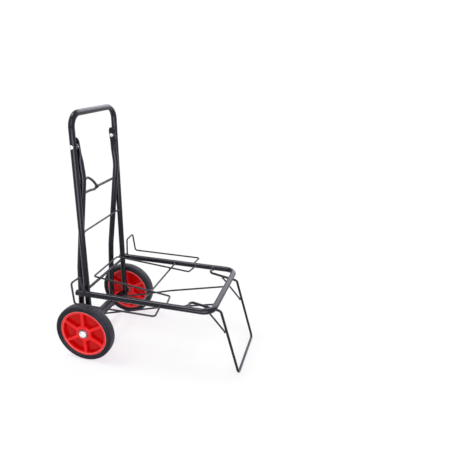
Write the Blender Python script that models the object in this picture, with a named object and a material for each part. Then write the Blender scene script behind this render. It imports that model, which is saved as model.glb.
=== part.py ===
"""Folding luggage cart: a tube frame on two wheels, with a load platform, a wire leg and wire stays.

Lengths are in metres. X points forward from the wheels to the leg, Y to the cart's left, Z up.
Every place below is measured from the axle's middle in X and from the floor in Z. The whole cart is then
moved along X so that its origin lies on the floor under the middle of its length.
"""
from math import acos, atan2, ceil, cos, pi, radians, sin, sqrt

import bmesh
import bpy
from mathutils import Matrix, Quaternion, Vector

# Clearances
GAP = 0.0003                    # between pieces that touch
RUNNING_GAP = 0.0003            # between a pin and its hole

# Wheels
TYRE_RADIUS = 0.085
TYRE_WIDTH = 0.032
TYRE_THICKNESS = 0.0152         # rubber between the rim and the tread
TYRE_BULGE = 0.0035             # how much further out the wall is than the bead, on each side
TYRE_SHOULDER = 0.007           # how far the tread rounds off at each side
RIM_WIDTH = 0.0245
RIM_RING = 0.0065               # depth of the rim's outer ring
SPOKE_COUNT = 6
SPOKE_WIDTH = 0.0085
SPOKE_RECESS = 0.0012           # how far a spoke lies below the ring's face
WEB_THICKNESS = 0.004           # the wall at the bottom of the pockets
HUB_RADIUS = 0.0215
HUB_WIDTH = 0.0245
BUSH_WALL = 0.004
AXLE_RADIUS = 0.005
HUB_CAP_RADIUS = 0.013
HUB_CAP_DOME = 0.0075
HUB_CAP_EDGE = 0.0015
HUB_CAP_GRIP = 0.004            # length of axle held in the hub cap
SPACER_LENGTH = 0.00655
SPACER_WALL = 0.004

# Frame tubes
TUBE_RADIUS = 0.008
TUBE_WALL = 0.001
HANDLE_HALF_WIDTH = 0.1053
HANDLE_TOP_Z = 0.6763
HANDLE_TOP_X = 0.0080
HANDLE_CORNER = 0.034
HANDLE_FOOT_DROP = 0.015        # leg left below the axle's middle
REAR_TOP_X = 0.0055             # the rear tube's places along its length
REAR_TOP_DROP = 0.0578          # below the grip bar
REAR_BULGE_X = 0.0133
REAR_BULGE_DROP = 0.1607        # below the grip bar
REAR_KNEE_X = -0.0248
REAR_KNEE_RISE = 0.0576         # over the platform
REAR_ANKLE_X = -0.0370
REAR_ANKLE_RISE = 0.0150        # over the axle
REAR_FOOT_X = -0.0390
REAR_FOOT_DROP = 0.014          # tube left below the foot rod's middle
REAR_BEND = 0.120
FLAT_LENGTH = 0.034             # flattened top of the rear tube
FLAT_TAPER = 0.030
FLAT_THICKNESS = 0.0050
FLAT_WIDTH = 0.0215
PLUG_STEM = 0.006
PLUG_HEAD = 0.0025

# Bolts at the top, rivets and links at the bottom
BOLT_BELOW_END = 0.0205
BOLT_RADIUS = 0.003
BOLT_HEAD_RADIUS = 0.0052
BOLT_HEAD_HEIGHT = 0.0036
NUT_RADIUS = 0.0057
NUT_HEIGHT = 0.0055
NUT_CHAMFER = 0.001
BOLT_TAIL = 0.0015
WASHER_RADIUS = 0.008
FOOT_ROD_DROP = 0.031           # below the axle
FOOT_ROD_RADIUS = 0.004
SLEEVE_RADIUS = 0.014
SLEEVE_END_SPACE = 0.0127       # free rod between the sleeve and each rear tube
RIVET_HEAD_RADIUS = 0.0065
RIVET_HEAD_HEIGHT = 0.0025
RIVET_HEAD_EDGE = 0.001
LINK_THICKNESS = 0.002
LINK_EDGE = 0.004               # metal left around the link's holes

# Load platform
PLATFORM_RISE = 0.118           # over the axle
PLATFORM_FRONT_X = 0.3656
PLATFORM_REAR_X = -0.0159
PLATFORM_CORNER = 0.028
PIVOT_X = 0.0
PIVOT_ROD_RADIUS = 0.004
PIVOT_BUSH_LENGTH = 0.0037
WIRE_RADIUS = 0.0025
WIRE_BEND = 0.007
LOOP_REAR_X = 0.0037
LOOP_REAR_RISE = 0.0241         # over the platform's plane
LOOP_SIDE_SPACE = 0.0075        # between the loop's rear and the rear tubes
LOOP_FLARE = 0.0076             # how much further out the loop's front is
LOOP_FRONT_SETBACK = 0.1314     # behind the front bar
LOOP_FRONT_RISE = 0.0007
LOOP_ANCHOR_SETBACK = 0.1245
MID_WIRE_SETBACK = 0.1910
GUARD_REACH = 0.0544            # out from the rail's middle line
GUARD_FRONT_SETBACK = 0.1312
GUARD_ANCHOR_SETBACK = 0.1371
GUARD_REAR_X = 0.0101
GUARD_TOP_X = 0.0050
GUARD_TOP_RISE = 0.0580         # over the platform's plane
GUARD_TOP_REACH = 0.0107
GUARD_LEAN = 0.0030             # how far the rising wire tips inward
GUARD_FOOT_OFFSET = 0.0056      # from the rail's middle line to the wire's foot on it

# Folding leg
LEG_PIVOT_SETBACK = 0.0686      # behind the front bar
LEG_PIVOT_RISE = 0.0005
LEG_WIRE_RADIUS = 0.0035
LEG_BEND = 0.010
LEG_INSET = 0.0366              # in from the rail's middle line
LEG_KNEE_AHEAD = 0.0141         # ahead of the front bar
LEG_FOOT_AHEAD = 0.06565
LEG_CROSS_SETBACK = 0.0046
BRACE_RADIUS = 0.0025
BRACE_ON_ARM = 0.42             # share of the arm's length
BRACE_ON_SHAFT = 0.380          # share of the shaft's length
COLLAR_RADIUS = 0.0062
COLLAR_LENGTH = 0.004

# Stays from the axle to the leg
STAY_REAR_Y = 0.050
STAY_FRONT_Y = 0.052
STAY_KNEE_X = 0.186
STAY_KNEE_RISE = 0.0605         # over the axle
STAY_BEND = 0.150
STAY_EYE_TURN = radians(285)

# Wires across the handle
REAR_WIRE_DROP = 0.2008         # below the grip bar
HANDLE_WIRE_DROP = 0.1025       # below the rear tubes' wire
HANDLE_WIRE_FORWARD = 0.003
HOOK_WIRE_RADIUS = 0.0035       # of the rear tubes' wire too
HOOK_NOSE_Y = 0.0196            # where the wire meets the bow
HOOK_TOP_RISE = 0.0368
HOOK_LOW_RISE = -0.0012
HOOK_BEND = 0.012
# Corners of the hook's bow, above and below its nose: distance from the middle, rise over the wire
HOOK_UPPER = ((0.0640, 0.0362), (0.0515, 0.0298), (0.0389, 0.0214), (0.0275, 0.0118), (0.0193, 0.0030))
HOOK_LOWER = ((0.0200, -0.0028), (0.0275, -0.0052), (0.0492, -0.0022))

# Facets
TUBE_SIDES = 12
WIRE_SIDES = 8
HOLE_SIDES = 8
ROD_SIDES = 12
NUT_SIDES = 6
TURNED_SIDES = 16
WHEEL_SIDES = 32
BEND_STEP = radians(23)

# Heights over the floor
AXLE_Z = TYRE_RADIUS
PLATFORM_Z = AXLE_Z + PLATFORM_RISE
FOOT_ROD_Z = AXLE_Z - FOOT_ROD_DROP
REAR_WIRE_Z = HANDLE_TOP_Z - REAR_WIRE_DROP
HANDLE_WIRE_Z = REAR_WIRE_Z - HANDLE_WIRE_DROP
LEG_PIVOT_Z = PLATFORM_Z + LEG_PIVOT_RISE
LEG_FOOT_Z = LEG_WIRE_RADIUS

# Distances from the axle along X
LEG_PIVOT_X = PLATFORM_FRONT_X - LEG_PIVOT_SETBACK
LEG_KNEE_X = PLATFORM_FRONT_X + LEG_KNEE_AHEAD
LEG_FOOT_X = PLATFORM_FRONT_X + LEG_FOOT_AHEAD
LEG_CROSS_X = PLATFORM_FRONT_X - LEG_CROSS_SETBACK
AXLE_X = (TYRE_RADIUS - LEG_FOOT_X - LEG_WIRE_RADIUS) / 2

# Distances from the middle plane, from the handle's legs inward and outward
LINK_SPACE = LINK_THICKNESS + 2 * GAP
REAR_TUBE_Y = HANDLE_HALF_WIDTH - 2 * TUBE_RADIUS - LINK_SPACE
PLATFORM_HALF_WIDTH = HANDLE_HALF_WIDTH + 2 * TUBE_RADIUS + PIVOT_BUSH_LENGTH + 2 * GAP
WHEEL_CENTRE_Y = HANDLE_HALF_WIDTH + TUBE_RADIUS + SPACER_LENGTH + 2 * GAP + HUB_WIDTH / 2
LEG_HALF_WIDTH = PLATFORM_HALF_WIDTH - LEG_INSET
SLEEVE_HALF_LENGTH = REAR_TUBE_Y - TUBE_RADIUS - SLEEVE_END_SPACE
LOOP_REAR_Y = REAR_TUBE_Y - TUBE_RADIUS - WIRE_RADIUS - LOOP_SIDE_SPACE

# Radii and points that follow from others
RIM_RADIUS = TYRE_RADIUS - TYRE_THICKNESS - GAP
FLAT_SHIFT = TUBE_RADIUS - FLAT_THICKNESS / 2
LOOP_REAR = (LOOP_REAR_X, LOOP_REAR_Y, LOOP_REAR_RISE)
LOOP_FRONT = (PLATFORM_FRONT_X - LOOP_FRONT_SETBACK, LOOP_REAR_Y + LOOP_FLARE, LOOP_FRONT_RISE)
REAR_TOP = (REAR_TOP_X, HANDLE_TOP_Z - REAR_TOP_DROP)
REAR_BULGE = (REAR_BULGE_X, HANDLE_TOP_Z - REAR_BULGE_DROP)
REAR_KNEE = (REAR_KNEE_X, PLATFORM_Z + REAR_KNEE_RISE)
REAR_ANKLE = (REAR_ANKLE_X, AXLE_Z + REAR_ANKLE_RISE)

JOINT_POINTS = {
    "frame_place": (0.0, 0.0, 0.0),
    "platform_pivot": (PIVOT_X, 0.0, PLATFORM_Z),
    "leg_pivot": (LEG_PIVOT_X, 0.0, LEG_PIVOT_Z),
    "stay_pivot": (0.0, 0.0, AXLE_Z),
    "wheel_left_pivot": (0.0, WHEEL_CENTRE_Y, AXLE_Z),
    "wheel_right_pivot": (0.0, -WHEEL_CENTRE_Y, AXLE_Z),
}
SIDES = {"left": 1, "right": -1}


def remove_everything():
    """Start from an empty scene."""
    for thing in list(bpy.data.objects):
        bpy.data.objects.remove(thing, do_unlink=True)


def make_joint_empties():
    """One empty on each joint's axis; pieces are parented to the empty that they turn with."""
    for name, point in JOINT_POINTS.items():
        empty = bpy.data.objects.new(name, None)
        empty.location = Vector(point) + Vector((AXLE_X, 0, 0))
        empty.empty_display_size = 0.02
        bpy.context.collection.objects.link(empty)


def material(name, colour, roughness, metallic=0.0):
    """A named Principled material, made once."""
    if name in bpy.data.materials:
        return bpy.data.materials[name]
    made = bpy.data.materials.new(name)
    made.use_nodes = True
    shader = made.node_tree.nodes["Principled BSDF"]
    shader.inputs["Base Color"].default_value = (*colour, 1.0)
    shader.inputs["Roughness"].default_value = roughness
    shader.inputs["Metallic"].default_value = metallic
    return made


def black_paint():
    return material("black_paint", (0.018, 0.017, 0.024), 0.28)


def dark_wire():
    return material("dark_wire", (0.055, 0.054, 0.062), 0.35, 0.3)


def bright_zinc():
    return material("bright_zinc", (0.78, 0.79, 0.80), 0.22, 1.0)


def red_plastic():
    return material("red_plastic", (0.75, 0.012, 0.020), 0.25)


def tyre_rubber():
    return material("tyre_rubber", (0.050, 0.050, 0.055), 0.7)


def black_plastic():
    return material("black_plastic", (0.020, 0.020, 0.022), 0.5)


def grey_plastic():
    return material("grey_plastic", (0.085, 0.075, 0.095), 0.5)


def white_nylon():
    return material("white_nylon", (0.72, 0.71, 0.68), 0.45)


def add_piece(name, mesh, finish, joint):
    """Make an object of a bmesh given in places from the axle, with its origin on its joint's axis."""
    mesh.transform(Matrix.Translation(-Vector(JOINT_POINTS[joint])))
    bmesh.ops.recalc_face_normals(mesh, faces=mesh.faces)
    data = bpy.data.meshes.new(name)
    mesh.to_mesh(data)
    mesh.free()
    data.shade_smooth()
    data.set_sharp_from_angle(angle=radians(40))
    piece = bpy.data.objects.new(name, data)
    piece.parent = bpy.data.objects[joint]
    if finish:
        data.materials.append(finish)
    bpy.context.collection.objects.link(piece)
    return piece


def cut(piece, mesh, label):
    """Take a closed shape out of a piece with a Boolean."""
    joint = piece.parent.name
    cutter = add_piece(piece.name + "_" + label, mesh, None, joint)
    cutter.hide_render = True
    cutter.display_type = "WIRE"
    boolean = piece.modifiers.new(label, "BOOLEAN")
    boolean.operation = "DIFFERENCE"
    boolean.solver = "EXACT"
    boolean.object = cutter


def rounded_path(points, bend):
    """The points of a path that runs straight between corners and round them on arcs."""
    points = [Vector(p) for p in points]
    path = [points[0]]
    for before, corner, after in zip(points, points[1:], points[2:]):
        way_in = (corner - before).normalized()
        way_out = (after - corner).normalized()
        turn = way_in.angle(way_out)
        if turn < radians(1):
            path.append(corner)
            continue
        room = 0.48 * min((corner - before).length, (after - corner).length)
        tangent = min(bend * sin(turn / 2) / cos(turn / 2), room)
        radius = tangent * cos(turn / 2) / sin(turn / 2)
        middle = corner + (way_out - way_in).normalized() * (radius / cos(turn / 2))
        start = corner - way_in * tangent
        axis = way_in.cross(way_out).normalized()
        steps = max(2, ceil(turn / BEND_STEP))
        for step in range(steps + 1):
            swing = Quaternion(axis, turn * step / steps)
            path.append(middle + swing @ (start - middle))
    path.append(points[-1])
    return path


def path_frames(path, side):
    """For each path point: the point, the direction to its side and the one across, without twist."""
    frames = []
    side = Vector(side)
    last = (path[1] - path[0]).normalized()
    side = (side - last * side.dot(last)).normalized()
    for index, point in enumerate(path):
        ahead = (path[min(index + 1, len(path) - 1)] - point)
        behind = (point - path[max(index - 1, 0)])
        tangent = (ahead.normalized() + behind.normalized()).normalized()
        side = last.rotation_difference(tangent) @ side
        side = (side - tangent * side.dot(tangent)).normalized()
        frames.append((point, side, tangent.cross(side)))
        last = tangent
    return frames


def round_ring(radius, sides):
    """Offsets of a round section, turned so that flats face its two directions."""
    turns = [(step + 0.5) * 2 * pi / sides for step in range(sides)]
    return [(radius * cos(turn), radius * sin(turn)) for turn in turns]


def skin(mesh, rings, closed_ends):
    """Join rings of vertices into a tube's wall."""
    for first, second in zip(rings, rings[1:]):
        for index in range(len(first)):
            after = (index + 1) % len(first)
            mesh.faces.new((first[index], first[after], second[after], second[index]))
    if closed_ends:
        mesh.faces.new(rings[0])
        mesh.faces.new(rings[-1])


def sweep_rings(mesh, frames, offsets):
    """Place one ring of vertices at each frame; offsets gives each ring's section."""
    rings = []
    for (point, side, across), section in zip(frames, offsets):
        rings.append([mesh.verts.new(point + side * a + across * b) for a, b in section])
    return rings


def wire_mesh(path, radius, side=(0, 0, 1), sides=WIRE_SIDES):
    """A solid wire along a path."""
    mesh = bmesh.new()
    frames = path_frames(path, side)
    section = round_ring(radius, sides)
    skin(mesh, sweep_rings(mesh, frames, [section] * len(frames)), True)
    return mesh


def tube_mesh(path, side, outer_sections, inner_sections):
    """An open-ended tube along a path."""
    mesh = bmesh.new()
    frames = path_frames(path, side)
    outer = sweep_rings(mesh, frames, outer_sections)
    inner = sweep_rings(mesh, frames, inner_sections)
    skin(mesh, outer, False)
    skin(mesh, inner, False)
    for end in (0, -1):
        for index in range(len(outer[end])):
            after = (index + 1) % len(outer[end])
            mesh.faces.new((outer[end][index], outer[end][after], inner[end][after], inner[end][index]))
    return mesh


def round_tube(path, side):
    """A tube of the frame's round section."""
    outer = [round_ring(TUBE_RADIUS, TUBE_SIDES)] * len(path)
    inner = [round_ring(TUBE_RADIUS - TUBE_WALL, TUBE_SIDES)] * len(path)
    return tube_mesh(path, side, outer, inner)


def turned_mesh(profile, centre, direction=(0, 1, 0), sides=TURNED_SIDES):
    """Turn a closed outline of (radius, distance along the axis) points about an axis through centre."""
    mesh = bmesh.new()
    to_axis = Vector((0, 0, 1)).rotation_difference(Vector(direction))
    columns = []
    for radius, along in profile:
        if radius < 1e-7:
            vertex = mesh.verts.new(Vector(centre) + to_axis @ Vector((0, 0, along)))
            columns.append([vertex] * sides)
            continue
        ring = []
        for step in range(sides):
            turn = step * 2 * pi / sides
            spot = Vector((radius * cos(turn), radius * sin(turn), along))
            ring.append(mesh.verts.new(Vector(centre) + to_axis @ spot))
        columns.append(ring)
    for first, second in zip(columns, columns[1:] + columns[:1]):
        for index in range(sides):
            after = (index + 1) % sides
            corners = []
            for vertex in (first[index], first[after], second[after], second[index]):
                if vertex not in corners:
                    corners.append(vertex)
            if len(corners) > 2:
                mesh.faces.new(corners)
    return mesh


def rod_mesh(centre, radius, start, end, direction=(0, 1, 0), sides=ROD_SIDES):
    """A plain round rod between two distances along an axis through centre."""
    outline = [(0, start), (radius, start), (radius, end), (0, end)]
    return turned_mesh(outline, centre, direction, sides)


def sleeve_mesh(centre, inner, outer, start, end, sides=TURNED_SIDES):
    """A round sleeve about a crosswise axis."""
    bore = inner / cos(pi / sides)
    outline = [(bore, start), (outer, start), (outer, end), (bore, end)]
    return turned_mesh(outline, centre, (0, 1, 0), sides)


def drill(piece, label, centre, pin_radius, start, end, direction=(0, 1, 0)):
    """A hole with running clearance for a pin."""
    radius = (pin_radius + RUNNING_GAP) / cos(pi / HOLE_SIDES)
    cut(piece, rod_mesh(centre, radius, start, end, direction, HOLE_SIDES), label)


def crosswise(side, inner, outer):
    """Two distances from the middle plane, in rising Y order, on one side of the cart."""
    return sorted((side * inner, side * outer))


def handle_x(z):
    """X of the handle's leg at a height; the leg leans forward a little from the axle up."""
    return HANDLE_TOP_X * (z - AXLE_Z) / (HANDLE_TOP_Z - AXLE_Z)


def rear_tube_x(z):
    """X of the rear tube's middle line at a height, between its straight runs."""
    points = [REAR_TOP, REAR_BULGE, REAR_KNEE, REAR_ANKLE]
    for (upper_x, upper_z), (lower_x, lower_z) in zip(points, points[1:]):
        if z >= lower_z:
            return lower_x + (upper_x - lower_x) * (z - lower_z) / (upper_z - lower_z)
    return REAR_FOOT_X


def seat_height(tube_radius, offset):
    """Height over a tube's middle line at which something resting at this offset clears the tube."""
    return sqrt(tube_radius ** 2 - offset ** 2) + GAP


def butt_length(target_radius, wire_radius, angle):
    """How far from the target's middle line a wire that meets it at an angle has to stop."""
    return (target_radius + GAP) / sin(angle) + wire_radius * abs(cos(angle)) / sin(angle)


def trimmed(path, at_start=0.0, at_end=0.0):
    """Shorten a path at its ends along its first and last runs."""
    path = [Vector(p) for p in path]
    path[0] = path[0] + (path[1] - path[0]).normalized() * at_start
    path[-1] = path[-1] + (path[-2] - path[-1]).normalized() * at_end
    return path


# Frame

BOLT_Z = REAR_TOP[1] - BOLT_BELOW_END
BOLT_X = handle_x(BOLT_Z)


def make_handle_tube():
    """One bent tube: two legs and the grip bar."""
    foot_z = AXLE_Z - HANDLE_FOOT_DROP
    corners = [
        (handle_x(foot_z), -HANDLE_HALF_WIDTH, foot_z),
        (HANDLE_TOP_X, -HANDLE_HALF_WIDTH, HANDLE_TOP_Z),
        (HANDLE_TOP_X, HANDLE_HALF_WIDTH, HANDLE_TOP_Z),
        (handle_x(foot_z), HANDLE_HALF_WIDTH, foot_z),
    ]
    tube = add_piece("handle_tube", round_tube(rounded_path(corners, HANDLE_CORNER), (1, 0, 0)),
                     black_paint(), "frame_place")
    for word, side in SIDES.items():
        inside = HANDLE_HALF_WIDTH - 2 * TUBE_RADIUS
        outside = HANDLE_HALF_WIDTH + 2 * TUBE_RADIUS
        start, end = crosswise(side, inside, outside)
        drill(tube, "axle_hole_" + word, (0, 0, AXLE_Z), AXLE_RADIUS, start, end)
        drill(tube, "pivot_hole_" + word, (PIVOT_X, 0, PLATFORM_Z), PIVOT_ROD_RADIUS, start, end)
        drill(tube, "bolt_hole_" + word, (BOLT_X, 0, BOLT_Z), BOLT_RADIUS, start, end)


def flat_section(radius, flatness, shift, thinner):
    """The rear tube's section between round (0) and flattened (1), its flat side kept in line."""
    section = []
    for outward, across in round_ring(radius, TUBE_SIDES):
        thick = (FLAT_THICKNESS / 2 - thinner) * max(-1.0, min(1.0, 1.4 * outward / radius))
        wide = (FLAT_WIDTH / 2 - thinner) * across / (radius * cos(pi / TUBE_SIDES))
        section.append((outward + (thick + shift - outward) * flatness, across + (wide - across) * flatness))
    return section


def rear_tube_path(side):
    """Middle line of a rear tube from its foot to its top, with rings where the flattening starts."""
    y = side * REAR_TUBE_Y
    foot = (REAR_FOOT_X, y, FOOT_ROD_Z - REAR_FOOT_DROP)
    corners = [foot] + [(x, y, z) for x, z in (REAR_ANKLE, REAR_KNEE, REAR_BULGE, REAR_TOP)]
    path = rounded_path(corners, REAR_BEND)
    top = path.pop()
    run = (top - path[-1]).normalized()
    flat_starts = top - run * FLAT_LENGTH
    taper_starts = flat_starts - run * FLAT_TAPER
    path = [point for point in path if point.z < taper_starts.z - 0.002]
    steps = 4
    for step in range(steps + 1):
        path.append(taper_starts.lerp(flat_starts, step / steps))
    path.append(top)
    return path, taper_starts.z, flat_starts.z


def make_rear_tube(word, side):
    """One bent tube, flattened at the top where it is bolted to the handle."""
    path, taper_z, flat_z = rear_tube_path(side)
    outer = []
    inner = []
    for point in path:
        share = max(0.0, min(1.0, (point.z - taper_z) / (flat_z - taper_z)))
        flatness = share * share * (3 - 2 * share)
        outer.append(flat_section(TUBE_RADIUS, flatness, FLAT_SHIFT, 0.0))
        inner.append(flat_section(TUBE_RADIUS - TUBE_WALL, flatness, FLAT_SHIFT, TUBE_WALL))
    tube = add_piece("rear_tube_" + word, tube_mesh(path, (0, side, 0), outer, inner),
                     black_paint(), "frame_place")
    start, end = crosswise(side, REAR_TUBE_Y - 2 * TUBE_RADIUS, REAR_TUBE_Y + 2 * TUBE_RADIUS)
    drill(tube, "bolt_hole", (BOLT_X, 0, BOLT_Z), BOLT_RADIUS, start, end)
    drill(tube, "foot_hole", (REAR_FOOT_X, 0, FOOT_ROD_Z), FOOT_ROD_RADIUS, start, end)


def make_top_bolt(word, side):
    """Domed bolt through handle, washer and rear tube, with its nut on the inner side."""
    head = HANDLE_HALF_WIDTH + TUBE_RADIUS + GAP
    flat_inner = REAR_TUBE_Y + FLAT_SHIFT - FLAT_THICKNESS / 2
    nut_outer = flat_inner - GAP
    nut_inner = nut_outer - NUT_HEIGHT
    tail = nut_inner - BOLT_TAIL
    edge = 0.45 * BOLT_HEAD_HEIGHT
    outline = [(0, tail), (BOLT_RADIUS, tail), (BOLT_RADIUS, head), (BOLT_HEAD_RADIUS, head),
               (BOLT_HEAD_RADIUS, head + edge), (0.8 * BOLT_HEAD_RADIUS, head + 0.8 * BOLT_HEAD_HEIGHT),
               (0.4 * BOLT_HEAD_RADIUS, head + BOLT_HEAD_HEIGHT), (0, head + BOLT_HEAD_HEIGHT)]
    centre = (BOLT_X, 0, BOLT_Z)
    add_piece("top_bolt_" + word, turned_mesh(outline, centre, (0, side, 0), ROD_SIDES),
              bright_zinc(), "frame_place")
    nut_bore = (BOLT_RADIUS + GAP) / cos(pi / NUT_SIDES)
    nut = [(nut_bore, nut_inner), (0.85 * NUT_RADIUS, nut_inner), (NUT_RADIUS, nut_inner + NUT_CHAMFER),
           (NUT_RADIUS, nut_outer), (nut_bore, nut_outer)]
    add_piece("top_nut_" + word, turned_mesh(nut, centre, (0, side, 0), NUT_SIDES),
              bright_zinc(), "frame_place")
    start, end = crosswise(side, REAR_TUBE_Y + TUBE_RADIUS + GAP, HANDLE_HALF_WIDTH - TUBE_RADIUS - GAP)
    add_piece("top_washer_" + word,
              sleeve_mesh(centre, BOLT_RADIUS + GAP, WASHER_RADIUS, start, end, ROD_SIDES),
              bright_zinc(), "frame_place")


def make_handle_wires():
    """The wire between the handle's legs, the one between the rear tubes and its cargo hook."""
    x = handle_x(HANDLE_WIRE_Z) + HANDLE_WIRE_FORWARD
    reach = HANDLE_HALF_WIDTH - seat_height(TUBE_RADIUS, max(0.0, HANDLE_WIRE_FORWARD - WIRE_RADIUS))
    across = [Vector((x, -reach, HANDLE_WIRE_Z)), Vector((x, reach, HANDLE_WIRE_Z))]
    add_piece("handle_cross_wire", wire_mesh(across, WIRE_RADIUS), dark_wire(), "frame_place")
    seat = REAR_TUBE_Y - TUBE_RADIUS - GAP
    wire_start = -HOOK_NOSE_Y + HOOK_WIRE_RADIUS + GAP
    along = [Vector((rear_tube_x(REAR_WIRE_Z), y, REAR_WIRE_Z)) for y in (wire_start, seat)]
    add_piece("rear_cross_wire", wire_mesh(along, HOOK_WIRE_RADIUS), dark_wire(), "frame_place")
    bow = []
    for y, rise in ((seat, HOOK_TOP_RISE), *HOOK_UPPER, *HOOK_LOWER, (seat, HOOK_LOW_RISE)):
        z = REAR_WIRE_Z + rise
        bow.append((rear_tube_x(z), -y, z))
    hook = wire_mesh(rounded_path(bow, HOOK_BEND), HOOK_WIRE_RADIUS)
    add_piece("cargo_hook", hook, dark_wire(), "frame_place")


def make_axle():
    """The axle rod with its two spacers and domed hub caps."""
    hub_face = WHEEL_CENTRE_Y + HUB_WIDTH / 2
    axle_end = hub_face + GAP + HUB_CAP_GRIP
    add_piece("axle_rod", rod_mesh((0, 0, AXLE_Z), AXLE_RADIUS, -axle_end, axle_end), black_paint(),
              "frame_place")
    for word, side in SIDES.items():
        start, end = crosswise(side, HANDLE_HALF_WIDTH + TUBE_RADIUS + GAP,
                               WHEEL_CENTRE_Y - HUB_WIDTH / 2 - GAP)
        spacer = sleeve_mesh((0, 0, AXLE_Z), AXLE_RADIUS + GAP, AXLE_RADIUS + SPACER_WALL, start, end)
        add_piece("wheel_spacer_" + word, spacer, black_plastic(), "frame_place")
        add_piece("hub_cap_" + word, hub_cap_mesh(side, hub_face + GAP, axle_end), bright_zinc(),
                  "frame_place")


def hub_cap_mesh(side, base, axle_end):
    """A domed push-on cap with a blind bore for the axle's end."""
    bore = (AXLE_RADIUS + GAP) / cos(pi / TURNED_SIDES)
    outline = [(bore, base), (HUB_CAP_RADIUS, base), (HUB_CAP_RADIUS, base + HUB_CAP_EDGE)]
    for share in (0.25, 0.5, 0.75):
        lift = HUB_CAP_EDGE + (HUB_CAP_DOME - HUB_CAP_EDGE) * sin(share * pi / 2)
        outline.append((HUB_CAP_RADIUS * cos(share * pi / 2), base + lift))
    outline += [(0, base + HUB_CAP_DOME), (0, axle_end + GAP), (bore, axle_end + GAP)]
    return turned_mesh(outline, (0, 0, AXLE_Z), (0, side, 0))


def make_link_plate(word, side):
    """A flat link between the axle and the foot rod, in the gap between handle and rear tube."""
    ends = [(0.0, AXLE_Z, AXLE_RADIUS), (REAR_FOOT_X, FOOT_ROD_Z, FOOT_ROD_RADIUS)]
    lean = atan2(ends[0][1] - ends[1][1], ends[0][0] - ends[1][0])
    steps = 8
    outline = []
    for (x, z, pin), start in zip(ends, (lean - pi / 2, lean + pi / 2)):
        radius = pin + RUNNING_GAP + LINK_EDGE
        for step in range(steps + 1):
            turn = start + pi * step / steps
            outline.append((x + radius * cos(turn), z + radius * sin(turn)))
    middle = (HANDLE_HALF_WIDTH + REAR_TUBE_Y) / 2
    mesh = bmesh.new()
    face = mesh.faces.new([mesh.verts.new((x, side * (middle - LINK_THICKNESS / 2), z)) for x, z in outline])
    made = bmesh.ops.extrude_face_region(mesh, geom=[face])
    moved = [item for item in made["geom"] if isinstance(item, bmesh.types.BMVert)]
    bmesh.ops.translate(mesh, verts=moved, vec=(0, side * LINK_THICKNESS, 0))
    plate = add_piece("link_plate_" + word, mesh, black_paint(), "frame_place")
    start, end = crosswise(side, middle - 2 * LINK_THICKNESS, middle + 2 * LINK_THICKNESS)
    drill(plate, "axle_hole", (0, 0, AXLE_Z), AXLE_RADIUS, start, end)
    drill(plate, "foot_hole", (REAR_FOOT_X, 0, FOOT_ROD_Z), FOOT_ROD_RADIUS, start, end)


def riveted_rod(centre, radius, seat):
    """A rod through both sides with a flat head at each end."""
    head = seat + RIVET_HEAD_HEIGHT
    outline = [(0, -head), (0.75 * RIVET_HEAD_RADIUS, -head), (RIVET_HEAD_RADIUS, -seat - RIVET_HEAD_EDGE),
               (RIVET_HEAD_RADIUS, -seat), (radius, -seat), (radius, seat), (RIVET_HEAD_RADIUS, seat),
               (RIVET_HEAD_RADIUS, seat + RIVET_HEAD_EDGE), (0.75 * RIVET_HEAD_RADIUS, head), (0, head)]
    return turned_mesh(outline, centre, (0, 1, 0), ROD_SIDES)


def make_foot_rod():
    """The rod that joins the rear tubes' feet, with its sleeve."""
    centre = (REAR_FOOT_X, 0, FOOT_ROD_Z)
    seat = (HANDLE_HALF_WIDTH + REAR_TUBE_Y) / 2 + LINK_THICKNESS / 2 + GAP
    add_piece("foot_rod", riveted_rod(centre, FOOT_ROD_RADIUS, seat), black_paint(), "frame_place")
    sleeve = sleeve_mesh(centre, FOOT_ROD_RADIUS + GAP, SLEEVE_RADIUS, -SLEEVE_HALF_LENGTH,
                         SLEEVE_HALF_LENGTH)
    add_piece("foot_sleeve", sleeve, grey_plastic(), "frame_place")


def make_pivot_rod():
    """The rod through handle legs and platform tubes, with a bush on each side between them."""
    centre = (PIVOT_X, 0, PLATFORM_Z)
    seat = PLATFORM_HALF_WIDTH + TUBE_RADIUS + GAP
    add_piece("pivot_rod", riveted_rod(centre, PIVOT_ROD_RADIUS, seat), black_paint(), "frame_place")
    for word, side in SIDES.items():
        start, end = crosswise(side, HANDLE_HALF_WIDTH + TUBE_RADIUS + GAP,
                               PLATFORM_HALF_WIDTH - TUBE_RADIUS - GAP)
        bush = sleeve_mesh(centre, PIVOT_ROD_RADIUS + GAP, RIVET_HEAD_RADIUS, start, end, ROD_SIDES)
        add_piece("pivot_bush_" + word, bush, black_plastic(), "frame_place")


def make_plug(name, end, direction, joint):
    """A plastic plug pushed into a tube's open end; direction points out of the tube."""
    stem = TUBE_RADIUS - TUBE_WALL
    stem = stem * cos(pi / TUBE_SIDES) - GAP
    outline = [(0, -PLUG_STEM), (stem, -PLUG_STEM), (stem, GAP), (TUBE_RADIUS, GAP),
               (TUBE_RADIUS, GAP + 0.6 * PLUG_HEAD), (0.7 * TUBE_RADIUS, GAP + PLUG_HEAD),
               (0, GAP + PLUG_HEAD)]
    add_piece(name, turned_mesh(outline, end, direction, TUBE_SIDES), black_plastic(), joint)


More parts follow.
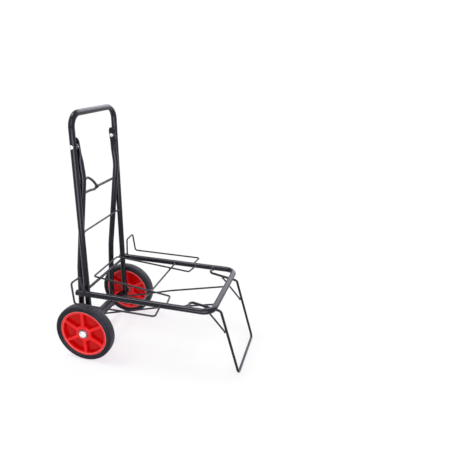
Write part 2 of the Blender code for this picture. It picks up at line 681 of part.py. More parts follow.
def make_plugs():
    """Plugs in the feet of the handle and rear tubes and in the platform's rear ends."""
    for word, side in SIDES.items():
        foot_z = AXLE_Z - HANDLE_FOOT_DROP
        foot = Vector((handle_x(foot_z), side * HANDLE_HALF_WIDTH, foot_z))
        lean = Vector((-HANDLE_TOP_X, 0, AXLE_Z - HANDLE_TOP_Z)).normalized()
        make_plug("handle_plug_" + word, foot, lean, "frame_place")
        rear_foot = Vector((REAR_FOOT_X, side * REAR_TUBE_Y, FOOT_ROD_Z - REAR_FOOT_DROP))
        ankle = Vector((REAR_ANKLE[0], side * REAR_TUBE_Y, REAR_ANKLE[1]))
        make_plug("rear_plug_" + word, rear_foot, (rear_foot - ankle).normalized(), "frame_place")
        rear_end = (PLATFORM_REAR_X, side * PLATFORM_HALF_WIDTH, PLATFORM_Z)
        make_plug("platform_plug_" + word, rear_end, (-1, 0, 0), "platform_pivot")


# Wheels

def tyre_outline():
    """Half profile of the tyre, rounded at its shoulders."""
    half = TYRE_WIDTH / 2
    bore = RIM_RADIUS + GAP
    inner_wall = bore + 0.35 * (TYRE_RADIUS - bore)
    outer_half = [(bore, half - TYRE_BULGE), (inner_wall, half)]
    for share in (0.0, 0.5, 1.0):
        turn = share * pi / 2
        outer_half.append((TYRE_RADIUS - TYRE_SHOULDER * (1 - sin(turn)),
                           half - TYRE_SHOULDER * (1 - cos(turn))))
    return outer_half + [(radius, -along) for radius, along in reversed(outer_half)]


def pocket_mesh(centre, face_side, first_angle):
    """One pocket between two spokes, as a prism that stands out of the rim's face."""
    inner = HUB_RADIUS + 0.0025
    outer = RIM_RADIUS - RIM_RING
    half_sector = pi / SPOKE_COUNT
    outline = []
    for radius, steps, order in ((inner, 2, 1), (outer, 4, -1)):
        reach = half_sector - SPOKE_WIDTH / 2 / radius
        for step in range(steps + 1):
            share = order * (2 * step / steps - 1)
            turn = first_angle + half_sector + share * reach
            outline.append((radius * sin(turn), radius * cos(turn)))
    low = WEB_THICKNESS / 2
    high = RIM_WIDTH
    mesh = bmesh.new()
    face = mesh.faces.new([mesh.verts.new((centre[0] + x, centre[1] + face_side * low, centre[2] + z))
                           for x, z in outline])
    made = bmesh.ops.extrude_face_region(mesh, geom=[face])
    moved = [item for item in made["geom"] if isinstance(item, bmesh.types.BMVert)]
    bmesh.ops.translate(mesh, verts=moved, vec=(0, face_side * (high - low), 0))
    bmesh.ops.recalc_face_normals(mesh, faces=mesh.faces)
    return mesh


def join_meshes(meshes):
    """Put several closed shapes into one mesh."""
    joined = bmesh.new()
    holder = bpy.data.meshes.new("holder")
    for mesh in meshes:
        mesh.to_mesh(holder)
        joined.from_mesh(holder)
        mesh.free()
    bpy.data.meshes.remove(holder)
    return joined


def make_wheel(word, side):
    """Rim, tyre and bush that turn on the axle."""
    joint = "wheel_" + word + "_pivot"
    centre = (0, side * WHEEL_CENTRE_Y, AXLE_Z)
    bush_outer = AXLE_RADIUS + RUNNING_GAP + BUSH_WALL
    bore = (bush_outer + GAP) / cos(pi / WHEEL_SIDES)
    hub = HUB_WIDTH / 2
    ring = RIM_WIDTH / 2
    spoke = ring - SPOKE_RECESS
    ring_inner = RIM_RADIUS - RIM_RING + 0.002
    half = [(bore, hub), (HUB_RADIUS, hub), (HUB_RADIUS, spoke), (ring_inner, spoke),
            (ring_inner, ring), (RIM_RADIUS, ring)]
    outline = half + [(radius, -along) for radius, along in reversed(half)]
    rim = add_piece("rim_" + word, turned_mesh(outline, centre, (0, 1, 0), WHEEL_SIDES),
                    red_plastic(), joint)
    pockets = []
    for index in range(SPOKE_COUNT):
        for face_side in (1, -1):
            pockets.append(pocket_mesh(centre, face_side, index * 2 * pi / SPOKE_COUNT))
    cut(rim, join_meshes(pockets), "pockets")
    add_piece("tyre_" + word, turned_mesh(tyre_outline(), centre, (0, 1, 0), WHEEL_SIDES),
              tyre_rubber(), joint)
    add_piece("wheel_bush_" + word,
              sleeve_mesh(centre, AXLE_RADIUS + RUNNING_GAP, bush_outer, -hub, hub), white_nylon(), joint)


# Load platform

def make_platform_tube():
    """One bent tube: two side rails and the front bar."""
    corners = [
        (PLATFORM_REAR_X, -PLATFORM_HALF_WIDTH, PLATFORM_Z),
        (PLATFORM_FRONT_X, -PLATFORM_HALF_WIDTH, PLATFORM_Z),
        (PLATFORM_FRONT_X, PLATFORM_HALF_WIDTH, PLATFORM_Z),
        (PLATFORM_REAR_X, PLATFORM_HALF_WIDTH, PLATFORM_Z),
    ]
    tube = add_piece("platform_tube", round_tube(rounded_path(corners, PLATFORM_CORNER), (0, 0, 1)),
                     black_paint(), "platform_pivot")
    for word, side in SIDES.items():
        inside = PLATFORM_HALF_WIDTH - 2 * TUBE_RADIUS
        outside = PLATFORM_HALF_WIDTH + 2 * TUBE_RADIUS
        start, end = crosswise(side, inside, outside)
        drill(tube, "pivot_hole_" + word, (PIVOT_X, 0, PLATFORM_Z), PIVOT_ROD_RADIUS, start, end)
        start, end = crosswise(side, inside, PLATFORM_HALF_WIDTH)
        drill(tube, "leg_hole_" + word, (LEG_PIVOT_X, 0, LEG_PIVOT_Z), LEG_WIRE_RADIUS, start, end)


def loop_height(x):
    """Height of the inner loop's arm over the platform's plane."""
    share = (x - LOOP_REAR[0]) / (LOOP_FRONT[0] - LOOP_REAR[0])
    return LOOP_REAR[2] + (LOOP_FRONT[2] - LOOP_REAR[2]) * share


def make_platform_wires():
    """The loop inside the platform and the wire across under it."""
    seat = PLATFORM_HALF_WIDTH - TUBE_RADIUS - GAP
    half = [(PLATFORM_FRONT_X - LOOP_ANCHOR_SETBACK, seat, LOOP_FRONT_RISE), LOOP_FRONT, LOOP_REAR]
    points = [(x, -y, PLATFORM_Z + rise) for x, y, rise in half]
    points += [(x, y, PLATFORM_Z + rise) for x, y, rise in reversed(half)]
    loop = wire_mesh(rounded_path(points, WIRE_BEND), WIRE_RADIUS)
    add_piece("inner_loop", loop, dark_wire(), "platform_pivot")
    x = PLATFORM_FRONT_X - MID_WIRE_SETBACK
    z = PLATFORM_Z + loop_height(x) - 2 * WIRE_RADIUS - GAP
    across = [Vector((x, -seat, z)), Vector((x, seat, z))]
    add_piece("mid_cross_wire", wire_mesh(across, WIRE_RADIUS), dark_wire(), "platform_pivot")


def make_side_guard(word, side):
    """A wire that runs out from the rail, back along it, up, and over to the rail's rear."""
    wall = PLATFORM_HALF_WIDTH + TUBE_RADIUS + GAP
    outside = PLATFORM_HALF_WIDTH + GUARD_REACH
    foot_rise = seat_height(TUBE_RADIUS, max(0.0, GUARD_FOOT_OFFSET - WIRE_RADIUS))
    points = [
        (PLATFORM_FRONT_X - GUARD_ANCHOR_SETBACK, wall, 0.0),
        (PLATFORM_FRONT_X - GUARD_FRONT_SETBACK, outside, 0.0),
        (GUARD_REAR_X, outside, 0.0),
        (GUARD_TOP_X, outside - GUARD_LEAN, GUARD_TOP_RISE),
        (GUARD_TOP_X, PLATFORM_HALF_WIDTH + GUARD_TOP_REACH, GUARD_TOP_RISE - GUARD_LEAN),
        (GUARD_TOP_X, PLATFORM_HALF_WIDTH + GUARD_FOOT_OFFSET, foot_rise),
    ]
    points = [(x, side * y, PLATFORM_Z + rise) for x, y, rise in points]
    guard = wire_mesh(rounded_path(points, WIRE_BEND), WIRE_RADIUS)
    add_piece("side_guard_" + word, guard, dark_wire(), "platform_pivot")


# Folding leg and stays

def leg_knee():
    """X and Z of the leg's knee, so that its arm passes just under the platform's front bar."""
    bar_low = PLATFORM_Z - TUBE_RADIUS - GAP - LEG_WIRE_RADIUS
    slope = (bar_low - LEG_PIVOT_Z) / (PLATFORM_FRONT_X - LEG_PIVOT_X)
    return LEG_KNEE_X, LEG_PIVOT_Z + slope * (LEG_KNEE_X - LEG_PIVOT_X)


def leg_arm_z(x):
    """Height of the leg's arm at a place along it."""
    knee_x, knee_z = leg_knee()
    return LEG_PIVOT_Z + (knee_z - LEG_PIVOT_Z) * (x - LEG_PIVOT_X) / (knee_x - LEG_PIVOT_X)


def leg_cross_z():
    """Height of the wire that hangs under the leg's arms and carries the stays."""
    return leg_arm_z(LEG_CROSS_X) - LEG_WIRE_RADIUS - WIRE_RADIUS - GAP


def make_leg():
    """The bent leg wire, its cross wire, braces and collars."""
    knee_x, knee_z = leg_knee()
    stub = PLATFORM_HALF_WIDTH - 0.3 * TUBE_RADIUS
    half = [
        (LEG_PIVOT_X, stub, LEG_PIVOT_Z),
        (LEG_PIVOT_X, LEG_HALF_WIDTH, LEG_PIVOT_Z),
        (knee_x, LEG_HALF_WIDTH, knee_z),
        (LEG_FOOT_X, LEG_HALF_WIDTH, LEG_FOOT_Z),
    ]
    points = [(x, -y, z) for x, y, z in half] + [(x, y, z) for x, y, z in reversed(half)]
    leg = wire_mesh(rounded_path(points, LEG_BEND), LEG_WIRE_RADIUS)
    add_piece("leg_wire", leg, black_paint(), "leg_pivot")
    reach = LEG_HALF_WIDTH + LEG_WIRE_RADIUS
    across = [Vector((LEG_CROSS_X, -reach, leg_cross_z())), Vector((LEG_CROSS_X, reach, leg_cross_z()))]
    add_piece("leg_cross_wire", wire_mesh(across, WIRE_RADIUS), dark_wire(), "leg_pivot")
    for word, side in SIDES.items():
        make_brace(word, side)
        rail = PLATFORM_HALF_WIDTH - TUBE_RADIUS
        start, end = crosswise(side, rail - GAP - COLLAR_LENGTH, rail - GAP)
        collar = sleeve_mesh((LEG_PIVOT_X, 0, LEG_PIVOT_Z), LEG_WIRE_RADIUS + GAP, COLLAR_RADIUS,
                             start, end, ROD_SIDES)
        add_piece("leg_collar_" + word, collar, black_plastic(), "leg_pivot")


def make_brace(word, side):
    """A thin wire across the leg's knee."""
    knee_x, knee_z = leg_knee()
    pivot = Vector((LEG_PIVOT_X, side * LEG_HALF_WIDTH, LEG_PIVOT_Z))
    knee = Vector((knee_x, side * LEG_HALF_WIDTH, knee_z))
    foot = Vector((LEG_FOOT_X, side * LEG_HALF_WIDTH, LEG_FOOT_Z))
    upper = pivot.lerp(knee, BRACE_ON_ARM)
    lower = knee.lerp(foot, BRACE_ON_SHAFT)
    run = lower - upper
    at_arm = butt_length(LEG_WIRE_RADIUS, BRACE_RADIUS, run.angle(knee - pivot))
    at_shaft = butt_length(LEG_WIRE_RADIUS, BRACE_RADIUS, run.angle(foot - knee))
    path = trimmed([upper, lower], at_arm, at_shaft)
    add_piece("leg_brace_" + word, wire_mesh(path, BRACE_RADIUS, (0, 1, 0)), dark_wire(), "leg_pivot")


def make_stay(word, side):
    """A long wire with an eye round the axle; its front end meets the leg's cross wire from behind."""
    eye = AXLE_RADIUS + RUNNING_GAP + WIRE_RADIUS
    knee = Vector((STAY_KNEE_X, 0, AXLE_Z + STAY_KNEE_RISE))
    front = Vector((LEG_CROSS_X, 0, leg_cross_z()))
    front += (knee - front).normalized() * (WIRE_RADIUS + GAP)
    axle = Vector((0, 0, AXLE_Z))
    reach = knee - axle
    spread = acos(eye / reach.length)
    start = atan2(reach.z, reach.x) + spread
    steps = ceil(STAY_EYE_TURN / radians(30))
    ring = []
    for step in range(steps + 1):
        turn = start + STAY_EYE_TURN * step / steps
        ring.append(axle + Vector((cos(turn), 0, sin(turn))) * eye)
    long_run = rounded_path([front, knee, ring[0]], STAY_BEND)
    path = long_run[:-1] + ring
    length = front.x
    for point in path:
        share = max(0.0, point.x / length)
        point.y = side * (STAY_REAR_Y + (STAY_FRONT_Y - STAY_REAR_Y) * share)
    add_piece("stay_" + word, wire_mesh(path, WIRE_RADIUS, (0, side, 0)), dark_wire(), "stay_pivot")


def build():
    """Make every piece."""
    remove_everything()
    make_joint_empties()
    make_handle_tube()
    make_handle_wires()
    make_axle()
    make_foot_rod()
    make_pivot_rod()
    make_plugs()
    make_platform_tube()
    make_platform_wires()
    make_leg()
    for word, side in SIDES.items():
        make_rear_tube(word, side)
        make_top_bolt(word, side)
        make_link_plate(word, side)
        make_wheel(word, side)
        make_side_guard(word, side)
        make_stay(word, side)


build()
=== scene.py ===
"""Looks of the folding luggage cart: finer pieces, procedural finishes, light and camera.

Lengths are in metres. X is counted from the axle and Z from the floor; finish_piece moves every
piece by AXLE_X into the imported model's frame. Places with two numbers are X and Z.
"""

from math import acos, atan2, ceil, cos, pi, radians, sin, sqrt

import bmesh
import bpy
from mathutils import Matrix, Quaternion, Vector


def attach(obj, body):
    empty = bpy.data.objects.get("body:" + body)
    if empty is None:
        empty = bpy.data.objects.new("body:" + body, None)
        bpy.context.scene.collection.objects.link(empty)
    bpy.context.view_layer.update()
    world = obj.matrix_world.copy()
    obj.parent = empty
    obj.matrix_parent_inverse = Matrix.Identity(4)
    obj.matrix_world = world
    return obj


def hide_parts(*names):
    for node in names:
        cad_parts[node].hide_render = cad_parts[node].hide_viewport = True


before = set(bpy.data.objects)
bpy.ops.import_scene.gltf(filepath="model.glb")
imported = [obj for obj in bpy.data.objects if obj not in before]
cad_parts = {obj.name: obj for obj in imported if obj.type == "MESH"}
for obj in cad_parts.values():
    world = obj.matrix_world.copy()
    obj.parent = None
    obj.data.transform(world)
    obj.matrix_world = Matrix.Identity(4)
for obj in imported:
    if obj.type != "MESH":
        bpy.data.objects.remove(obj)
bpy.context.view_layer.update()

AXLE_X = -0.174875
AXLE_Z = 0.085
SIDES = {"left": 1, "right": -1}

# Clearance that the solid model leaves between pieces that touch
GAP = 0.0003

# Smoothness: steps round bends, sides of round sections, steps of a dome's quarter turn
BEND_STEP = radians(6)
TUBE_BEND_STEP = radians(4)
WIDE_BEND_STEP = radians(2)
TUBE_SIDES = 32
WIRE_SIDES = 16
LEG_WIRE_SIDES = 20
BRACE_SIDES = 14
TURNED_SIDES = 64
SMALL_SIDES = 48
BOLT_SIDES = 40
WHEEL_SIDES = 144
DOME_STEPS = 8
FINE_DOME_STEPS = 12

# Edges that turn by more than this many degrees are shaded sharp
SHARP = 38
SHARP_RIM = 32
SHARP_TYRE = 50

# A radius under ON_AXIS is taken as none, and so is a turn under STRAIGHT
ON_AXIS = 1e-7
STRAIGHT = radians(1)

# Tubes, wires and pins: radii
TUBE = 0.008
TUBE_WALL = 0.001
WIRE = 0.0025
LEG_WIRE = 0.0035
HOOK_WIRE = 0.0035
BRACE = 0.0025
AXLE = 0.005
PIN = 0.004

# Bends: radii
HANDLE_BEND = 0.034
REAR_BEND = 0.120
PLATFORM_BEND = 0.028
DECK_WIRE_BEND = 0.007
HOOK_BEND = 0.012
LEG_BEND = 0.010
STAY_BEND = 0.150

# Welds: how far the bead reaches up the wire, how much thicker it is than the wire, how fast it
# thins, how far the wire runs into the tube and how uneven the metal is
BEAD_LENGTH = 0.0032
BEAD_GROWTH = 0.62
BEAD_FLARE = 1.6
BEAD_SINK = 0.0012
BEAD_LUMPS = 0.07

# Rings near a wire's end, as shares of the bead, and the rounding of an end without a bead
END_MARKS = (0.0, 0.12, 0.28, 0.48, 0.72, 1.0)
END_EASE = 0.35
END_SHARE = 0.78


# Geometry

def rounded_path(points, bend, step=BEND_STEP):
    """The points of a path that runs straight between corners and round them on arcs."""
    points = [Vector(p) for p in points]
    path = [points[0]]
    for before, corner, after in zip(points, points[1:], points[2:]):
        way_in = (corner - before).normalized()
        way_out = (after - corner).normalized()
        turn = way_in.angle(way_out)
        if turn < STRAIGHT:
            path.append(corner)
            continue
        half = turn / 2
        room = 0.48 * min((corner - before).length, (after - corner).length)
        tangent = min(bend * sin(half) / cos(half), room)
        radius = tangent * cos(half) / sin(half)
        middle = corner + (way_out - way_in).normalized() * (radius / cos(half))
        start = corner - way_in * tangent
        axis = way_in.cross(way_out).normalized()
        steps = max(3, ceil(turn / step))
        for index in range(steps + 1):
            swing = Quaternion(axis, turn * index / steps)
            path.append(middle + swing @ (start - middle))
    path.append(points[-1])
    return path


def mirrored(half):
    """A path from right to left, from its left half's points in order from the end."""
    return [(x, -y, z) for x, y, z in half] + [(x, y, z) for x, y, z in reversed(half)]


def path_frames(path, side):
    """Each path point with the direction to its side and the one across, without twist."""
    frames = []
    side = Vector(side)
    last = (path[1] - path[0]).normalized()
    side = (side - last * side.dot(last)).normalized()
    for index, point in enumerate(path):
        ahead = path[min(index + 1, len(path) - 1)] - point
        behind = point - path[max(index - 1, 0)]
        tangent = (ahead.normalized() + behind.normalized()).normalized()
        side = last.rotation_difference(tangent) @ side
        side = (side - tangent * side.dot(tangent)).normalized()
        frames.append((point, side, tangent.cross(side)))
        last = tangent
    return frames


def ring_of(radius, sides):
    """Offsets of a round section."""
    return [(radius * cos(2 * pi * step / sides), radius * sin(2 * pi * step / sides))
            for step in range(sides)]


def quarter_arc(steps):
    """Cosine and sine at even steps through a quarter turn."""
    turns = [step / steps * pi / 2 for step in range(steps + 1)]
    return [(cos(turn), sin(turn)) for turn in turns]


def smooth_step(share):
    """0 to 1 with a gentle start and end."""
    share = max(0.0, min(1.0, share))
    return share * share * (3 - 2 * share)


def skin(mesh, rings):
    """Join rings of vertices into a wall."""
    for first, second in zip(rings, rings[1:]):
        for index in range(len(first)):
            after = (index + 1) % len(first)
            mesh.faces.new((first[index], first[after], second[after], second[index]))


def cap(mesh, ring, centre):
    """Close a ring with a fan of triangles."""
    middle = mesh.verts.new(centre)
    for first, second in zip(ring, ring[1:] + ring[:1]):
        mesh.faces.new((first, second, middle))


def place_rings(mesh, frames, sections):
    """One ring of vertices at each frame."""
    rings = []
    for (point, side, across), section in zip(frames, sections):
        rings.append([mesh.verts.new(point + side * a + across * b) for a, b in section])
    return rings


def lumpy(radius, sides, amount, seed):
    """A round section with the unevenness of a weld bead."""
    section = []
    for step in range(sides):
        turn = 2 * pi * step / sides
        wave = sin(3 * turn + seed) * 0.6 + sin(5 * turn + 2.3 * seed) * 0.4
        reach = radius * (1 + amount * wave)
        section.append((reach * cos(turn), reach * sin(turn)))
    return section


def end_section(mark, spacing, radius, sides, welded, seed):
    """A wire's section at a distance from its end: the bead's, or the eased edge's."""
    if welded:
        left = 1 - mark / spacing
        grow = 1 + BEAD_GROWTH * left ** BEAD_FLARE
        return lumpy(radius * grow, sides, BEAD_LUMPS * left, seed)
    edge = min(1.0, mark / (END_EASE * radius))
    share = END_SHARE + (1 - END_SHARE) * sqrt(1 - (1 - edge) ** 2)
    return ring_of(radius * share, sides)


def wire_into(mesh, path, radius, welded, side=(0, 0, 1), sides=WIRE_SIDES, seed=1.0):
    """A solid wire along a path, its ends flared into weld beads or else rounded off."""
    path = [Vector(p) for p in path]
    if welded:
        path[0] = path[0] + (path[0] - path[1]).normalized() * BEAD_SINK
        path[-1] = path[-1] + (path[-1] - path[-2]).normalized() * BEAD_SINK
    spacing = BEAD_LENGTH + BEAD_SINK
    marks = [spacing * share for share in END_MARKS]
    start_run = (path[1] - path[0]).normalized()
    end_run = (path[-2] - path[-1]).normalized()
    full = [path[0] + start_run * mark for mark in marks]
    full += path[1:-1]
    full += [path[-1] + end_run * mark for mark in reversed(marks)]
    sections = [end_section(mark, spacing, radius, sides, welded, seed) for mark in marks]
    sections += [ring_of(radius, sides)] * (len(path) - 2)
    sections += [end_section(mark, spacing, radius, sides, welded, seed + 1)
                 for mark in reversed(marks)]
    rings = place_rings(mesh, path_frames(full, side), sections)
    skin(mesh, rings)
    for end in (0, -1):
        cap(mesh, rings[end], full[end])


def axis_ring(mesh, centre, direction, radii, along):
    """Vertices evenly round an axis, one at each radius, at a distance along it."""
    to_axis = Vector((0, 0, 1)).rotation_difference(Vector(direction))
    ring = []
    for step, radius in enumerate(radii):
        turn = step * 2 * pi / len(radii)
        spot = Vector((radius * cos(turn), radius * sin(turn), along))
        ring.append(mesh.verts.new(Vector(centre) + to_axis @ spot))
    return ring


def softened(outline, radius, steps):
    """A closed outline with its corners rounded off; corners on the axis stay."""
    soft = []
    corners = [Vector(point) for point in outline]
    for before, corner, after in zip(corners[-1:] + corners, corners, corners[1:] + corners[:1]):
        if corner.x < ON_AXIS:
            soft.append(tuple(corner))
            continue
        reach = min(radius, 0.45 * (before - corner).length, 0.45 * (after - corner).length)
        start = corner + (before - corner).normalized() * reach
        end = corner + (after - corner).normalized() * reach
        for step in range(steps + 1):
            share = step / steps
            spot = start.lerp(corner, share).lerp(corner.lerp(end, share), share)
            soft.append(tuple(spot))
    return soft


def ring_outline(inner, outer, start, end, edge, steps=4):
    """Outline of a plain ring, or of a rod where inner is 0, with eased edges."""
    corners = [(inner, start), (outer, start), (outer, end), (inner, end)]
    return softened(corners, edge, steps)


def blob_into(mesh, centre, size, seed):
    """A small uneven lump of weld metal."""
    made = bmesh.ops.create_icosphere(mesh, subdivisions=3, radius=1.0)
    for vertex in made["verts"]:
        spot = vertex.co
        wave = sin(5 * spot.x + seed) * sin(4 * spot.y + 1.7 * seed)
        wave += 0.5 * sin(7 * spot.z + seed)
        spot = spot * (1 + BEAD_LUMPS * wave)
        spot = Vector((spot.x * size[0], spot.y * size[1], spot.z * size[2]))
        vertex.co = spot + Vector(centre)


# Finishes

def noise(tree, scale):
    """A noise texture in the object's own coordinates."""
    place = tree.nodes.get("place")
    if place is None:
        place = tree.nodes.new("ShaderNodeTexCoord")
        place.name = "place"
    texture = tree.nodes.new("ShaderNodeTexNoise")
    texture.inputs["Scale"].default_value = scale
    texture.inputs["Detail"].default_value = 3.0
    texture.inputs["Roughness"].default_value = 0.5
    tree.links.new(place.outputs["Object"], texture.inputs["Vector"])
    return texture.outputs["Fac"]


def colours_from(tree, factor, dark, light, low=0.3, high=0.7):
    """A colour from dark to light as a factor goes from low to high."""
    ramp = tree.nodes.new("ShaderNodeValToRGB")
    stops = zip(ramp.color_ramp.elements, (low, high), (dark, light))
    for element, position, colour in stops:
        element.position = position
        element.color = (*colour, 1.0)
    tree.links.new(factor, ramp.inputs["Fac"])
    return ramp.outputs["Color"]


def spread(tree, factor, low, high, from_low=0.3, from_high=0.7):
    """A factor stretched from one range to another and held at its ends."""
    node = tree.nodes.new("ShaderNodeMapRange")
    node.inputs["From Min"].default_value = from_low
    node.inputs["From Max"].default_value = from_high
    node.inputs["To Min"].default_value = low
    node.inputs["To Max"].default_value = high
    tree.links.new(factor, node.inputs["Value"])
    return node.outputs["Result"]


def calculated(tree, operation, first, second=None):
    """The result of a Math node; an input is a socket or a number."""
    node = tree.nodes.new("ShaderNodeMath")
    node.operation = operation
    for socket, value in zip(node.inputs, (first, second)):
        if isinstance(value, (int, float)):
            socket.default_value = value
        elif value is not None:
            tree.links.new(value, socket)
    return node.outputs["Value"]


def parts_of(tree, output):
    """X, Y and Z of the object's own coordinates or normal."""
    node = tree.nodes.new("ShaderNodeSeparateXYZ")
    tree.links.new(tree.nodes["place"].outputs[output], node.inputs["Vector"])
    return [node.outputs[letter] for letter in "XYZ"]


def side_tilt(tree):
    """How squarely the surface faces along the axle, from 0 to 1."""
    return calculated(tree, "ABSOLUTE", parts_of(tree, "Normal")[1])


def axle_distance(tree, x, z):
    """Distance from the axle, from the object's own X and Z."""
    along = calculated(tree, "SUBTRACT", x, AXLE_X)
    above = calculated(tree, "SUBTRACT", z, AXLE_Z)
    along = calculated(tree, "MULTIPLY", along, along)
    above = calculated(tree, "MULTIPLY", above, above)
    return calculated(tree, "SQRT", calculated(tree, "ADD", along, above))


def plain_finish(name, colours, gloss, grain, bump, colour_scale=70.0, gloss_scale=220.0):
    """A finish with uneven colour, uneven gloss and a fine grain; bump is strength, distance."""
    material = bpy.data.materials.new(name)
    material.use_nodes = True
    tree = material.node_tree
    shader = tree.nodes["Principled BSDF"]
    colour = colours_from(tree, noise(tree, colour_scale), *colours)
    tree.links.new(colour, shader.inputs["Base Color"])
    roughness = spread(tree, noise(tree, gloss_scale), *gloss)
    tree.links.new(roughness, shader.inputs["Roughness"])
    relief = tree.nodes.new("ShaderNodeBump")
    relief.inputs["Strength"].default_value = bump[0]
    relief.inputs["Distance"].default_value = bump[1]
    tree.links.new(noise(tree, grain), relief.inputs["Height"])
    tree.links.new(relief.outputs["Normal"], shader.inputs["Normal"])
    return material, tree, shader


def lay_over(tree, shader, factor, colour):
    """Cover the shader's colour with another one, plain or from a socket, by a factor."""
    base = shader.inputs["Base Color"]
    node = tree.nodes.new("ShaderNodeMix")
    node.data_type = "RGBA"
    tree.links.new(factor, node.inputs["Factor"])
    tree.links.new(base.links[0].from_socket, node.inputs["A"])
    if isinstance(colour, tuple):
        node.inputs["B"].default_value = (*colour, 1.0)
    else:
        tree.links.new(colour, node.inputs["B"])
    tree.links.new(node.outputs["Result"], base)


def enamel_finish(name, colours, gloss, specular, sheen):
    """Sprayed enamel: a little orange peel, and a bluish bloom at low angles."""
    material, _, shader = plain_finish(name, colours, gloss, 620.0, (0.06, 0.0002))
    shader.inputs["Specular IOR Level"].default_value = specular
    shader.inputs["Sheen Weight"].default_value = sheen
    shader.inputs["Sheen Roughness"].default_value = 0.30
    shader.inputs["Sheen Tint"].default_value = (0.84, 0.80, 1.0, 1.0)
    return material


def zinc_finish():
    """Bright plating with faint clouding."""
    colours = ((0.74, 0.75, 0.78), (0.86, 0.87, 0.90))
    material, _, shader = plain_finish("plating", colours, (0.14, 0.26), 900.0, (0.06, 0.0001))
    shader.inputs["Metallic"].default_value = 1.0
    return material


def plastic_finish(name, colours, gloss):
    """Moulded plastic with a fine spark-eroded grain."""
    return plain_finish(name, colours, gloss, 1000.0, (0.15, 0.0002))[0]


# Sizes that the wheels' finishes need too
WHEEL_Y = 0.1327
RIM_R = 0.0695
HUB_R = 0.0215
CAP_DOME_R = 0.0112

CAP_METAL = ((0.30, 0.29, 0.32), (0.92, 0.91, 0.94), 0.36, 0.50)
# painted shade: the darker colour of the cap's flange
CAP_FLANGE_SHADE = (0.16, 0.13, 0.14)
FACE_RED = ((0.84, 0.012, 0.014), (0.92, 0.020, 0.023))
# painted shade: the darker red of the pockets' floors
POCKET_SHADE_RED = (0.57, 0.0006, 0.0009)
# painted highlight: the paler red of the rib edges
EDGE_HIGHLIGHT_RED = (0.97, 0.24, 0.23)
# painted highlight: the paler red of the rim's outer lip
LIP_HIGHLIGHT_RED = (0.95, 0.34, 0.34)
# painted shadow: the darker ring on the hub round the cap
HUB_SHADOW_RED = (0.30, 0.070, 0.070)
TREAD_BLACK = ((0.025, 0.024, 0.033), (0.046, 0.044, 0.056), 0.25, 0.75)
# painted shade: the darker colour of the tyre's walls
WALL_SHADE_BLACK = ((0.006, 0.007, 0.012), (0.012, 0.013, 0.020))


def cap_finish():
    """Pressed and plated cap: cloudy and dented on its dome, with painted shade darkening its
    flange.
    """
    material, tree, shader = plain_finish("cap_plating", CAP_METAL, (0.14, 0.30), 240.0,
                                          (0.30, 0.0006), 165.0)
    x, _, z = parts_of(tree, "Object")
    # painted shade: outside the dome the flange is darkened
    flange = spread(tree, axle_distance(tree, x, z), 0.0, 0.9, CAP_DOME_R - 0.0008,
                    CAP_DOME_R + 0.0002)
    lay_over(tree, shader, flange, CAP_FLANGE_SHADE)
    shader.inputs["Metallic"].default_value = 1.0
    return material


def red_finish():
    """Glossy moulded plastic: painted shade in the pockets, painted highlights on rib edges and
    the rim's lip, painted shadow round the cap.
    """
    material, tree, shader = plain_finish("moulded_red", FACE_RED, (0.16, 0.24), 380.0,
                                          (0.05, 0.0002), 45.0)
    x, y, z = parts_of(tree, "Object")
    height = calculated(tree, "SUBTRACT", calculated(tree, "ABSOLUTE", y), WHEEL_Y)
    height = calculated(tree, "ABSOLUTE", height)
    reach = axle_distance(tree, x, z)
    # painted shade: the pockets are darker the nearer they lie to the rim's middle plane
    lay_over(tree, shader, spread(tree, height, 1.0, 0.0, 0.0035, 0.0100), POCKET_SHADE_RED)
    # a painted highlight on the rib edges: an edge is where the surface turns from a rib's face to
    # the pocket's wall, off the hub
    tilt = side_tilt(tree)
    edge = spread(tree, tilt, 0.0, 1.0, 0.30, 0.55)
    for factor in (spread(tree, tilt, 1.0, 0.0, 0.86, 0.97),
                   spread(tree, height, 0.0, 0.60, 0.0080, 0.0096),
                   spread(tree, reach, 0.0, 1.0, HUB_R, HUB_R + 0.003)):
        edge = calculated(tree, "MULTIPLY", edge, factor)
    lay_over(tree, shader, edge, EDGE_HIGHLIGHT_RED)
    # painted highlight: a paler band along the rim's outer lip
    lip = spread(tree, reach, 0.0, 0.60, RIM_R - 0.0017, RIM_R - 0.0010)
    lay_over(tree, shader, lip, LIP_HIGHLIGHT_RED)
    # painted shadow: a darker ring on the hub round the cap
    lay_over(tree, shader, spread(tree, reach, 0.55, 0.0, 0.0140, 0.0175), HUB_SHADOW_RED)
    shader.inputs["Specular IOR Level"].default_value = 0.12
    return material


def rubber_finish():
    """Solid tyre rubber, uneven in tone and finely grained; painted shade makes its walls darker
    than its tread.
    """
    material, tree, shader = plain_finish("tyre_rubber_fine", TREAD_BLACK, (0.44, 0.60), 1100.0,
                                          (0.22, 0.0003), 90.0)
    wall = colours_from(tree, noise(tree, 60.0), *WALL_SHADE_BLACK)
    # painted shade: faces that turn along the axle's line, the walls, are darkened
    lay_over(tree, shader, spread(tree, side_tilt(tree), 0.0, 1.0, 0.25, 0.75), wall)
    shader.inputs["Specular IOR Level"].default_value = 0.18
    return material


